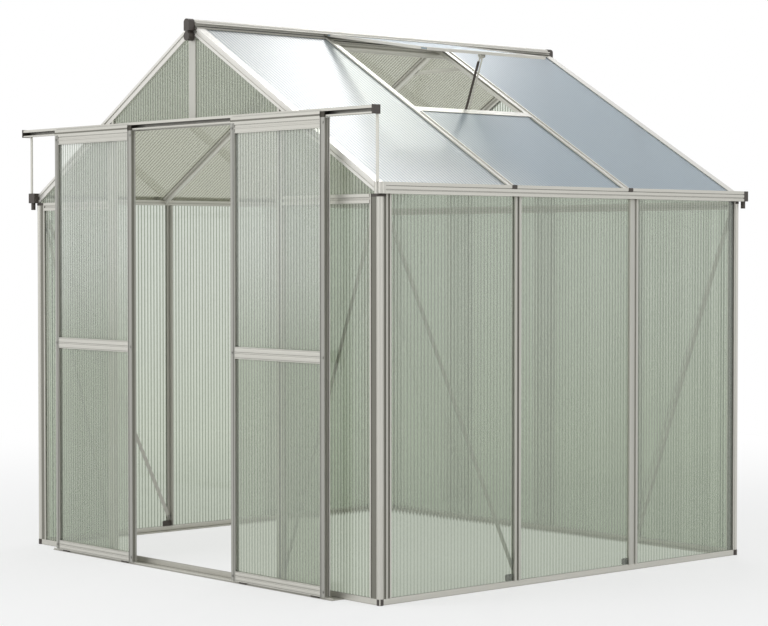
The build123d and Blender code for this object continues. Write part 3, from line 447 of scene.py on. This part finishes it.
def twin_wall(name, foot, top, rib, dust, span, milky, axis="Z", roughness=SHEET_ROUGHNESS, ior=SHEET_IOR):
    """Clear sheet whose ribs, one at each whole number of the UV's u, tint it more than its skins.

    The skins' tint, a painted reflection, goes from foot to top over a span of metres along one axis of
    the house, and milky is the share of light that the sheet scatters.
    """
    material, tree, out = new_material(name)
    flutes = add(tree, "ShaderNodeUVMap")
    parts = add(tree, "ShaderNodeSeparateXYZ", Vector=flutes.outputs[0])
    turn = add(tree, "ShaderNodeMath", {"operation": "PINGPONG"}, _0=parts.outputs["X"], _1=HALF_TURN)
    line = add(
        tree,
        "ShaderNodeMapRange",
        Value=turn.outputs[0],
        From_Min=RIB_CORE,
        From_Max=RIB_EDGE,
        To_Min=1.0,
        To_Max=0.0,
    )
    place = add(tree, "ShaderNodeTexCoord").outputs["Object"]
    reach = add(tree, "ShaderNodeSeparateXYZ", Vector=place)
    low, high = span
    rise = add(
        tree,
        "ShaderNodeMapRange",
        SMOOTH_STEP,
        Value=reach.outputs[axis],
        From_Min=low,
        From_Max=high,
    )
    # The tint from foot to top is a painted reflection, paler where the sheet would mirror the sky or glare.
    painted_reflection_tint = add(tree, "ShaderNodeMix", COLOURS, _0=rise.outputs[0], _6=linear(foot), _7=linear(top))
    cloud = add(tree, "ShaderNodeTexNoise", Vector=place, Scale=MM / DUST_MM, **CLOUDY)
    film = add(tree, "ShaderNodeMath", {"operation": "MULTIPLY"}, _0=cloud.outputs["Fac"], _1=DUST_SHARE)
    clear = add(tree, "ShaderNodeMix", COLOURS, _0=film.outputs[0], _6=painted_reflection_tint.outputs[2], _7=linear(dust))
    tone = add(tree, "ShaderNodeMix", COLOURS, _0=line.outputs[0], _6=clear.outputs[2], _7=linear(rib))
    glass = add(
        tree,
        "ShaderNodeBsdfPrincipled",
        Base_Color=tone.outputs[2],
        Roughness=roughness,
        IOR=ior,
        Transmission_Weight=1.0 - milky,
    )
    open_way = add(tree, "ShaderNodeBsdfTransparent", Color=linear(PASSING))
    path = add(tree, "ShaderNodeLightPath")
    shadow, mirrored = path.outputs["Is Shadow Ray"], path.outputs["Is Reflection Ray"]
    lights = add(tree, "ShaderNodeMath", LARGER, _0=shadow, _1=mirrored)
    both = add(tree, "ShaderNodeMixShader", _0=lights.outputs[0], _1=glass.outputs[0], _2=open_way.outputs[0])
    tree.links.new(both.outputs[0], out.inputs["Surface"])
    return material


print("ribs are drawn", FLUTE * MM, "mm apart")

# %% [markdown]
# One kind of sheet is used all over, in several tints: the walls are clear with a green cast and paler
# towards the top, a painted reflection of the sky; the side that faces the camera is hazier; the doors are
# milky and paler towards their heads, a painted reflection of the sky; the sheltered slope has a drab
# film; and the open slope is matt from the weather, and its tint goes from a painted glare, white at the
# front, to a painted reflection of the blue sky at the rear. The tints are the main thing here; the index
# stays near polycarbonate's.

# %% Sheets
# Clear twin-wall polycarbonate: see-through, with a green cast and dark rib lines; paler towards the top,
# a painted reflection of the sky.
WALL = {
    "foot": "#d3dacc",
    "top": "#e1e6de",
    "rib": "#87907f",
    "dust": "#ccd2c6",
    "span": (0.3, 1.3),
    "milky": 0.1,
}
# Hazy sheet: the same, more clouded, with softer rib lines.
HAZY = {
    "foot": "#c9d0c2",
    "top": "#d6dbd2",
    "rib": "#a9b1a4",
    "dust": "#ccd2c6",
    "span": (0.3, 1.3),
    "milky": 0.14,
}
# Door sheet: pale and milky above, clearer below.
# Door sheet: milky, darker at the foot and pale at the head, a painted reflection of the sky.
DOOR = {
    "foot": "#c9cfc0",
    "top": "#f1f3ef",
    "rib": "#98a093",
    "dust": "#d5d9cf",
    "span": (0.7, 1.3),
    "milky": 0.25,
}
# Sheltered roof sheet: a drab, yellowish film that dims what is behind it.
LEFT_ROOF = {
    "foot": "#c9cbbc",
    "top": "#d3d4c8",
    "rib": "#92937f",
    "dust": "#c2c2b2",
    "span": (1.4, 2.1),
    "milky": 0.22,
}
# Weathered roof sheet: matt, so that it spreads the lamp into a wide glare; its tint is a painted glare,
# white at the front, and a painted reflection of the blue sky at the rear.
RIGHT_ROOF = {
    "foot": "#d8dbdb",
    "top": "#8fa3b4",
    "rib": "#74899b",
    "dust": "#a4b1bc",
    "span": (-0.55, 0.0),
    "axis": "Y",
    "roughness": 0.3,
    "ior": 1.45,
    "milky": 0.2,
}
wall_sheet = twin_wall("twin_wall_polycarbonate", **WALL)
hazy_sheet = twin_wall("hazy_polycarbonate", **HAZY)
door_sheet = twin_wall("door_polycarbonate", **DOOR)
left_roof_sheet = twin_wall("left_roof_polycarbonate", **LEFT_ROOF)
right_roof_sheet = twin_wall("right_roof_polycarbonate", **RIGHT_ROOF)
sheets = (wall_sheet, hazy_sheet, door_sheet, left_roof_sheet, right_roof_sheet)
print("sheets", [sheet.name for sheet in sheets])

# %% [markdown]
# ## Finishes of the solids
#
# The record says what each solid is made of. For the aluminium, its name says which way it runs, so a
# short list of words gives each bar its finish, and a bar added later gets one without another line here.

# %% Finishes of the solids
finish_of_slot = {
    "aluminium": aluminium["z"],
    "steel": steel,
    "black_plastic": black_plastic,
    "twin_wall": wall_sheet,
}
way_of_word = {
    "end_rails": "x",
    "header": "x",
    "eave_bars": "x",
    "floor_track": "x",
    "collar": "x",
    "top_bar": "x",
    "mid_bar": "x",
    "bottom_bar": "x",
    "side_rails": "y",
    "gutter": "y",
    "ridge": "y",
    "vent_hinge": "y",
    "vent_bottom": "y",
    "vent_sill": "sill",
    "rafters": "slope",
    "vent_side": "vent",
    "door_rail": "rail",
    "wind_braces": "strap",
    "mullions": "mullion",
    "stiles": "stile",
}
slot_of_node = {row["node"]: row["material_slot"] for row in frame["record"]["subparts"]}
for node, thing in frame["nodes"].items():
    finish = finish_of_slot[slot_of_node[node]]
    if slot_of_node[node] == "aluminium":
        ways = [way for word, way in way_of_word.items() if word in node]
        finish = aluminium[ways[-1]] if ways else finish
    elif node.endswith("hangers"):
        finish = black_steel
    thing.data.materials.clear()
    thing.data.materials.append(finish)
print("finished solids", len(slot_of_node))

# %% [markdown]
# ## Fluted sheets
#
# A pane is a closed profile carried along its flutes. Across the flutes, u, both faces sink between the
# ribs as half a cosine; along the flutes, v, the sheet is straight. The pane's own solid gives its edges:
# its lowest and highest v at each u, so that a gable's sloping panes are cut to their rafter too. A bump
# would be quicker, but it bends no light, and the export would lose it.

# %% Outlines of the solids
LEAST_RUN = 1e-6
MICROMETRE_DIGITS = 6


def solids_of(node):
    """A node's solids, each as the two ends of its triangles' edges.

    Corners at one place are one, and triangles that share a corner are one solid: every corner takes the
    lowest number in its triangles, again and again, until none changes.
    """
    mesh = frame["nodes"][node].data
    points = np.empty(len(mesh.vertices) * 3)
    mesh.vertices.foreach_get("co", points)
    points = points.reshape(-1, 3)
    matrix = np.array(frame["nodes"][node].matrix_world)
    points = points @ matrix[:3, :3].T + matrix[:3, 3]
    corners = np.empty(len(mesh.loops), dtype=int)
    mesh.loops.foreach_get("vertex_index", corners)
    unique, index = np.unique(np.round(points, MICROMETRE_DIGITS), axis=0, return_inverse=True)
    triangles = index.reshape(-1)[corners].reshape(-1, 3)
    label = np.arange(len(unique))
    while True:
        lowest = label[triangles].min(axis=1)
        new = label.copy()
        np.minimum.at(new, triangles.reshape(-1), np.repeat(lowest, 3))
        if np.array_equal(new, label):
            break
        label = new
    solids = []
    for group in np.unique(label[triangles]):
        own = triangles[label[triangles[:, 0]] == group]
        solids.append((unique[own].reshape(-1, 3), unique[np.roll(own, -1, axis=1)].reshape(-1, 3)))
    return solids


def outline_at(grid, start, end, across, along):
    """Lowest and highest v of a solid at each u of a grid: every edge is cut there, where it spans that u."""
    u_start, u_end = start @ across, end @ across
    v_start, v_end = start @ along, end @ along
    run = np.where(np.abs(u_end - u_start) < LEAST_RUN, 1.0, u_end - u_start)
    share = (grid[None, :] - u_start[:, None]) / run[:, None]
    flat = (np.abs(u_end - u_start) < LEAST_RUN)[:, None]
    on_edge = (share > -LEAST_RUN) & (share < 1 + LEAST_RUN) & ~flat
    cut = v_start[:, None] + np.clip(share, 0, 1) * (v_end - v_start)[:, None]
    return np.where(on_edge, cut, np.inf).min(axis=0), np.where(on_edge, cut, -np.inf).max(axis=0)


door_low, door_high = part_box("left_door_panels")
print("panes of the left door", len(solids_of("left_door_panels")), "between", door_low, door_high)

# %% Fluted sheet
SINK = 0.0001
STEPS = 8
SHARP_ANGLE = math.radians(40)


def fluted_sheet(edges, across, along):
    """Vertices, faces and UVs of one pane that fills a flat solid, with flutes along one direction.

    Both faces sink by SINK times (1 - cos(2 pi u / flute)) / 2, and the pane's outline gives its ends at
    each u.
    """
    start, end = edges
    out = np.cross(across, along)
    u, w = start @ across, start @ out
    count = max(1, round((u.max() - u.min()) / FLUTE))
    grid = np.linspace(u.min() + LEAST_RUN, u.max() - LEAST_RUN, count * STEPS + 1)
    foot, top = outline_at(grid, start, end, across, along)
    phase = (grid - grid[0]) / (grid[-1] - grid[0]) * count
    sink = SINK * (1 - np.cos(2 * np.pi * phase)) / 2
    front = w.max() - sink
    back = w.min() + sink
    rows = [
        grid[:, None] * across + height[:, None] * along + depth[:, None] * out
        for height, depth in ((foot, front), (top, front), (top, back), (foot, back))
    ]
    n = len(grid)
    i = np.arange(n - 1)
    quads = [
        np.column_stack([a * n + i, a * n + i + 1, b * n + i + 1, b * n + i])
        for a, b in ((0, 1), (1, 2), (2, 3), (3, 0))
    ]
    ends = np.array([[0, n, 2 * n, 3 * n], [n - 1, 4 * n - 1, 3 * n - 1, 2 * n - 1]])
    uv = np.column_stack([np.tile(phase, 4), np.concatenate([foot, top, top, foot])])
    return np.concatenate(rows), [*quads, ends], uv


def make_mesh(name, chunks, material):
    """One object from several chunks of vertices, blocks of faces and UVs, smooth but for its sharp edges."""
    starts = np.cumsum([0] + [len(chunk[0]) for chunk in chunks[:-1]])
    vertices = np.concatenate([chunk[0] for chunk in chunks])
    blocks = [block + start for chunk, start in zip(chunks, starts) for block in chunk[1]]
    faces = [face for block in blocks for face in block.tolist()]
    corners = np.concatenate([block.reshape(-1) for block in blocks])
    uvs = np.concatenate([chunk[2] for chunk in chunks])
    mesh = bpy.data.meshes.new(name)
    mesh.from_pydata(vertices.tolist(), [], faces)
    layer = mesh.uv_layers.new(name="flutes")
    layer.data.foreach_set("uv", uvs[corners].reshape(-1))
    mesh.polygons.foreach_set("use_smooth", np.ones(len(faces), dtype=bool))
    mesh.set_sharp_from_angle(angle=SHARP_ANGLE)
    mesh.materials.append(material)
    mesh.validate()
    thing = bpy.data.objects.new(name, mesh)
    scene.collection.objects.link(thing)
    return thing


print("a flute is", FLUTE * MM, "mm wide and", SINK * MM, "mm deep")

# %% [markdown]
# Each kind of panel has its body, the direction across its flutes and the direction along them. Their
# cross product points out of the house, so the faces point outwards.

# %% Make the sheets
sheet_ways = {
    "left_wall_panels": ("frame", -Y, Z),
    "right_wall_panels": ("frame", Y, Z),
    "front_wall_panels": ("frame", X, Z),
    "back_wall_panels": ("frame", -X, Z),
    "left_door_panels": ("door_left", X, Z),
    "right_door_panels": ("door_right", X, Z),
    "left_roof_panels": ("frame", -Y, -down_slope(-1, ROOF_PITCH)),
    "right_roof_panels": ("frame", Y, -down_slope(1, ROOF_PITCH)),
    "vent_panel": ("vent", Y, -down_slope(1, VENT_PITCH)),
}
sheet_finish = {
    "right_wall_panels": hazy_sheet,
    "left_door_panels": door_sheet,
    "right_door_panels": door_sheet,
    "left_roof_panels": left_roof_sheet,
    "right_roof_panels": right_roof_sheet,
    "vent_panel": right_roof_sheet,
}
for node, (body, across, along) in sheet_ways.items():
    chunks = [fluted_sheet(edges, across, along) for edges in solids_of(node)]
    finish = sheet_finish.get(node, wall_sheet)
    sheet = make_mesh(node.replace("_panels", "_sheets").replace("_panel", "_sheet"), chunks, finish)
    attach(sheet, body)
    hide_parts(node)
    print(sheet.name, "panes", len(chunks), "faces", len(sheet.data.polygons))

# %% [markdown]
# ## Dark strips in the channels: painted shade
#
# Dark grey strips lie in the channels of the posts and bars, between the raised edges: painted shade in
# the channels. Each is a low bead: half an ellipse, as wide as its channel, carried along the bar. A
# modelled bead is lighter than a cut with a modifier, and its round top catches a thin line of light.

# %% Beads carried along a line
BEAD_STEPS = 10


def bead(start, end, across, out, wide, high):
    """Half an ellipse (wide/2 cos t, high sin t), t from 0 to pi, closed below, carried from start to end."""
    t = np.linspace(0, np.pi, BEAD_STEPS)
    profile = np.column_stack([wide / 2 * np.cos(t), high * np.sin(t)])
    start, end = np.array(start, dtype=float), np.array(end, dtype=float)
    if np.cross(across, out) @ (end - start) < 0:
        start, end = end, start
    ring = profile[:, :1] * across + profile[:, 1:] * out
    vertices = np.concatenate([start + ring, end + ring])
    n = len(t)
    i = np.arange(n)
    j = (i + 1) % n
    sides = np.column_stack([i, j, j + n, i + n])
    caps = np.stack([i[::-1], i + n])
    uv = np.column_stack([np.tile(t, 2), np.repeat([0.0, 1.0], n)])
    return vertices, [sides, caps], uv


def dress(name, chunks, material, body):
    """Make a piece with its finish and let it ride on a body."""
    piece = make_mesh(name, chunks, material)
    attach(piece, body)
    print(name, "parts", len(chunks))


print("a bead has", BEAD_STEPS, "points round it")

# %% Painted shade in the corner posts' channels
HALF_W, HALF_L = 1.070, 0.955
POST_FOOT, EAVE = 0.022, 1.417
SHADE_STRIP_HIGH = 0.0012
FRONT_CHANNEL = (0.018, 0.0435)
SIDE_CHANNELS = ((0.0175, 0.0265), (0.0335, 0.0435))
SIDES = (-1, 1)
CORNERS = [(sx, sy) for sx in SIDES for sy in SIDES]


def post_shade_strip(sx, sy, low, high, on_side):
    """A strip of painted shade in a corner post's channel, between two distances from the corner, on its side
    leg or its end leg.
    """
    wide, mid = high - low, (low + high) / 2
    if on_side:
        x, y, across, out = sx * HALF_W, sy * (HALF_L - mid), Y, sx * X
    else:
        x, y, across, out = sx * (HALF_W - mid), sy * HALF_L, X, sy * Y
    return bead((x, y, POST_FOOT), (x, y, EAVE), across, out, wide, SHADE_STRIP_HIGH)


# Grey strips in the posts' channels: painted shade.
post_channel_shade = [post_shade_strip(sx, sy, *FRONT_CHANNEL, False) for sx, sy in CORNERS]
post_channel_shade += [post_shade_strip(sx, -1, *channel, True) for sx in SIDES for channel in SIDE_CHANNELS]
dress("post_channel_shade", post_channel_shade, seal_rubber_and_painted_shade, "frame")

# %% Painted shade in the wall bars' channels
BAR_CHANNEL = 0.0085
BAR_YS, JAMB_X = (-0.290, 0.335), 0.533
# Grey strips in the bars' channels: painted shade.
bar_channel_shade = []
for side in SIDES:
    bar = (side * HALF_W, BAR_YS[0])
    bar_channel_shade.append(bead((*bar, POST_FOOT), (*bar, EAVE), Y, side * X, BAR_CHANNEL, SHADE_STRIP_HIGH))
    upright = (side * JAMB_X, HALF_L)
    bar_channel_shade.append(bead((*upright, POST_FOOT), (*upright, EAVE), X, Y, BAR_CHANNEL, SHADE_STRIP_HIGH))
dress("bar_channel_shade", bar_channel_shade, seal_rubber_and_painted_shade, "frame")

# %% [markdown]
# ## Clips, feet and painted shadow at the posts' heads
#
# Small black mouldings finish the joints: a clip on the gutter's rim below each rafter, a foot inside
# each side bar that ties it to the base rail, and at the head of each corner post a black band, a painted
# shadow under the gutter's end. They are rounded blocks, made as superellipsoids: a sphere whose sines
# and cosines are raised to a small power, so that it fills its box but keeps soft edges. A bevelled box
# would do too, but this is one formula and has no sharp edge to show.

# %% Rounded blocks
BLOCK_POWER = 0.3
BLOCK_U, BLOCK_V = 24, 12


def rounded_block(centre, size):
    """A superellipsoid: x = c(v)c(u), y = c(v)s(u), z = s(v).

    Here c and s are the cosine and sine, raised to BLOCK_POWER with their sign kept.
    """
    u = np.linspace(-np.pi, np.pi, BLOCK_U, endpoint=False)
    v = np.linspace(-np.pi / 2, np.pi / 2, BLOCK_V)[1:-1]

    def power(values):
        return np.sign(values) * np.abs(values) ** BLOCK_POWER

    uu, vv = np.meshgrid(u, v)
    girth = power(np.cos(vv))
    local = np.stack([girth * power(np.cos(uu)), girth * power(np.sin(uu)), power(np.sin(vv))])
    points = local.reshape(3, -1).T * np.array(size) / 2 + np.array(centre)
    poles = np.array(centre) + np.array([-1.0, 1.0])[:, None] * size[2] / 2 * Z
    rows, n = len(v), BLOCK_U
    i, j = (grid.reshape(-1) for grid in np.meshgrid(np.arange(n), np.arange(rows - 1)))
    k = (i + 1) % n
    quads = np.column_stack([j * n + i, j * n + k, (j + 1) * n + k, (j + 1) * n + i])
    ring = np.arange(n)
    turn = (ring + 1) % n
    low, high, last = rows * n, rows * n + 1, (rows - 1) * n
    foot_fan = np.column_stack([turn, ring, np.full(n, low)])
    head_fan = np.column_stack([last + ring, last + turn, np.full(n, high)])
    vertices = np.concatenate([points, poles])
    uv = np.column_stack([np.append(uu.reshape(-1), [0, 0]), np.append(vv.reshape(-1), [-1.0, 1.0])])
    return vertices, [quads, foot_fan, head_fan], uv


print("a rounded block has", BLOCK_U * (BLOCK_V - 2) + 2, "points")

# %% Clips on the gutters' rims
RIM_X, RIM_Z = 1.0985, 1.4505
CLIP_YS = (-0.335, 0.285)
CLIP_SIZE = (0.011, 0.026, 0.015)
clips = [rounded_block((side * RIM_X, y, RIM_Z), CLIP_SIZE) for side in SIDES for y in CLIP_YS]
dress("gutter_clips", clips, black_plastic, "frame")

# %% Feet of the side bars
FOOT_SIZE = (0.006, 0.046, 0.024)
FOOT_IN = 0.0155
feet = []
for side in SIDES:
    for y in BAR_YS:
        centre = (side * (HALF_W - FOOT_IN), y - FOOT_SIZE[1] / 2, POST_FOOT + FOOT_SIZE[2] / 2)
        feet.append(rounded_block(centre, FOOT_SIZE))
dress("bar_feet", feet, black_plastic, "frame")

# %% [markdown]
# At the head of each corner post a black band, a painted shadow under the gutter's end, covers the
# channels and goes round its nose, which is a tube. Round the nose it is a ring of elliptic section: one
# ellipse carried round a circle.

# %% Painted shadow at the heads of the corner posts
POST_SHADOW_HIGH = 0.010
SHADOW_PROUD = 0.0015
END_SHADOW = (0.016, 0.047)
SIDE_SHADOW = (0.016, 0.030)
NOSE_IN, NOSE_R = 0.006, 0.011
COLLAR_U, COLLAR_V = 32, 12


def collar(centre, radius, proud, high):
    """A ring of elliptic section: ((R + p cos v) cos u, (R + p cos v) sin u, h/2 sin v) about a centre."""
    u = np.linspace(0, 2 * np.pi, COLLAR_U, endpoint=False)
    v = np.linspace(0, 2 * np.pi, COLLAR_V, endpoint=False)
    uu, vv = (grid.reshape(-1) for grid in np.meshgrid(u, v))
    reach = radius + proud * np.cos(vv)
    local = np.column_stack([reach * np.cos(uu), reach * np.sin(uu), high / 2 * np.sin(vv)])
    i, j = (grid.reshape(-1) for grid in np.meshgrid(np.arange(COLLAR_U), np.arange(COLLAR_V)))
    k, m = (i + 1) % COLLAR_U, (j + 1) % COLLAR_V
    corners = (j * COLLAR_U + i, j * COLLAR_U + k, m * COLLAR_U + k, m * COLLAR_U + i)
    return local + np.array(centre), [np.column_stack(corners)], np.column_stack([uu, vv])


# Black bands at the posts' heads: a painted shadow under the gutters' ends.
post_head_shadows = []
shadow_z = EAVE - POST_SHADOW_HIGH / 2
for sx, sy in CORNERS:
    low, high = END_SHADOW
    end_centre = (sx * (HALF_W - (low + high) / 2), sy * HALF_L, shadow_z)
    post_head_shadows.append(rounded_block(end_centre, (high - low, 2 * SHADOW_PROUD, POST_SHADOW_HIGH)))
    low, high = SIDE_SHADOW
    side_centre = (sx * HALF_W, sy * (HALF_L - (low + high) / 2), shadow_z)
    post_head_shadows.append(rounded_block(side_centre, (2 * SHADOW_PROUD, high - low, POST_SHADOW_HIGH)))
    nose = (sx * (HALF_W - NOSE_IN), sy * (HALF_L - NOSE_IN), shadow_z)
    post_head_shadows.append(collar(nose, NOSE_R, SHADOW_PROUD, POST_SHADOW_HIGH))
dress("post_head_shadows", post_head_shadows, black_plastic, "frame")

# %% [markdown]
# Each black corner plug at the ground has a bright line down its nose, where the aluminium of the base
# shows between its two halves. It is one more low bead, set on the diagonal.

# %% Bright noses of the corner plugs
NOSE_WIDE, NOSE_HIGH = 0.0045, 0.0012
NOSE_FOOT = 0.001
noses = []
for sx, sy in CORNERS:
    out = np.array([sx, sy, 0.0]) / math.sqrt(2)
    x, y = sx * (HALF_W - NOSE_IN) + NOSE_R * out[0], sy * (HALF_L - NOSE_IN) + NOSE_R * out[1]
    noses.append(bead((x, y, NOSE_FOOT), (x, y, POST_FOOT), np.cross(Z, out), out, NOSE_WIDE, NOSE_HIGH))
dress("plug_noses", noses, aluminium["z"], "frame")

# %% [markdown]
# ## The doors' fields, seals, painted shadow and painted highlight
#
# The level bars of the doors have two crowned fields each, one above and one below a middle rib: low
# beads that fill the sunk fields of the solids. A dark brush seal runs up the right side face of each
# door, a dark line across the cover plate at its top is a painted shadow under the plate, and the fin
# behind its outer edge has a lip in a lighter metal, a painted highlight. All of them are beads, so one
# function makes them, and they ride on their door.

# %% Door fields
DOOR_FRONT, FIELD_DEEP, FIELD_HIGH = -1.017, 0.0015, 0.0015
DOOR_EDGES = {"left": (-0.847, -0.315), "right": (0.315, 0.847)}
STILE, FIELD_LIP, FIELD_RIB = 0.024, 0.003, 0.004
for hand, (low, high) in DOOR_EDGES.items():
    fields = []
    for bar in ("mid_bar", "bottom_bar"):
        corner_low, corner_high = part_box(f"{hand}_door_{bar}")
        z_low, z_high = corner_low[2], corner_high[2]
        z_mid = (z_low + z_high) / 2
        wide = z_mid - FIELD_RIB / 2 - z_low - FIELD_LIP
        for z in (z_low + FIELD_LIP + wide / 2, z_high - FIELD_LIP - wide / 2):
            ends = [(x, DOOR_FRONT + FIELD_DEEP, z) for x in (low + STILE, high - STILE)]
            fields.append(bead(*ends, Z, -Y, wide, FIELD_HIGH))
    dress(f"{hand}_door_fields", fields, aluminium["x"], f"door_{hand}")

# %% Door seals and painted shadow lines
DOOR_FOOT, DOOR_HEAD = 0.012, 1.684
BRUSH_WIDE, BRUSH_HIGH, BRUSH_IN = 0.011, 0.0004, 0.009
COVER_Z, COVER_WIDE, COVER_HIGH = 1.6945, 0.0065, 0.0012
for hand, (low, high) in DOOR_EDGES.items():
    place = (high, DOOR_FRONT + BRUSH_IN)
    brush = bead((*place, DOOR_FOOT), (*place, DOOR_HEAD), Y, X, BRUSH_WIDE, BRUSH_HIGH)
    # A dark line across the cover plate: a painted shadow under the plate.
    cover_ends = [(x, DOOR_FRONT, COVER_Z) for x in (low, high - STILE)]
    cover_shadow_line = bead(*cover_ends, Z, -Y, COVER_WIDE, COVER_HIGH)
    dress(f"{hand}_door_seal_and_painted_shadow", [brush, cover_shadow_line], seal_rubber_and_painted_shade, f"door_{hand}")

# %% Lips of the doors' fins: a painted highlight
FIN_X, FIN_Y = 0.850, -0.9966
LIP_WIDE, LIP_HIGH = 0.0055, 0.0008
for hand, side in zip(DOOR_EDGES, SIDES):
    fin = (side * FIN_X, FIN_Y)
    # The lip takes the lighter metal: a painted highlight along the fin's edge.
    lip = bead((*fin, DOOR_FOOT), (*fin, DOOR_HEAD), X, -Y, LIP_WIDE, LIP_HIGH)
    dress(f"{hand}_door_lip_painted_highlight", [lip], aluminium["sill"], f"door_{hand}")

# %% [markdown]
# ## The stay's dark edge, painted shade
#
# A black strip lies along one edge of the vent's stay: painted shade, the dark inside of the stay's channel.
# It is a bead along the stay's own direction, from its pin downwards, and rides on the stay.

# %% Painted shade along the vent's stay
STAY_TOP = np.array([0.583681, 0.0, 1.973832])
STAY_WAY = np.array([-0.3587, 0.0, -0.9335])
STAY_FACE = np.array([0.9335, 0.0, -0.3587])
STAY_THICK, STAY_EDGE = 0.003, -0.0105
STRIP_FROM, STRIP_TO = 0.022, 0.238
STRIP_WIDE, STRIP_HIGH = 0.012, 0.005
# A black strip on the stay's edge: painted shade, the dark inside of its channel.
shade_line = STAY_TOP + STAY_THICK / 2 * STAY_FACE + STAY_EDGE * Y
shade_ends = [shade_line + s * STAY_WAY for s in (STRIP_FROM, STRIP_TO)]
shade_strip = bead(*shade_ends, Y, STAY_FACE, STRIP_WIDE, STRIP_HIGH)
dress("stay_painted_shade", [shade_strip], black_plastic, "stay")
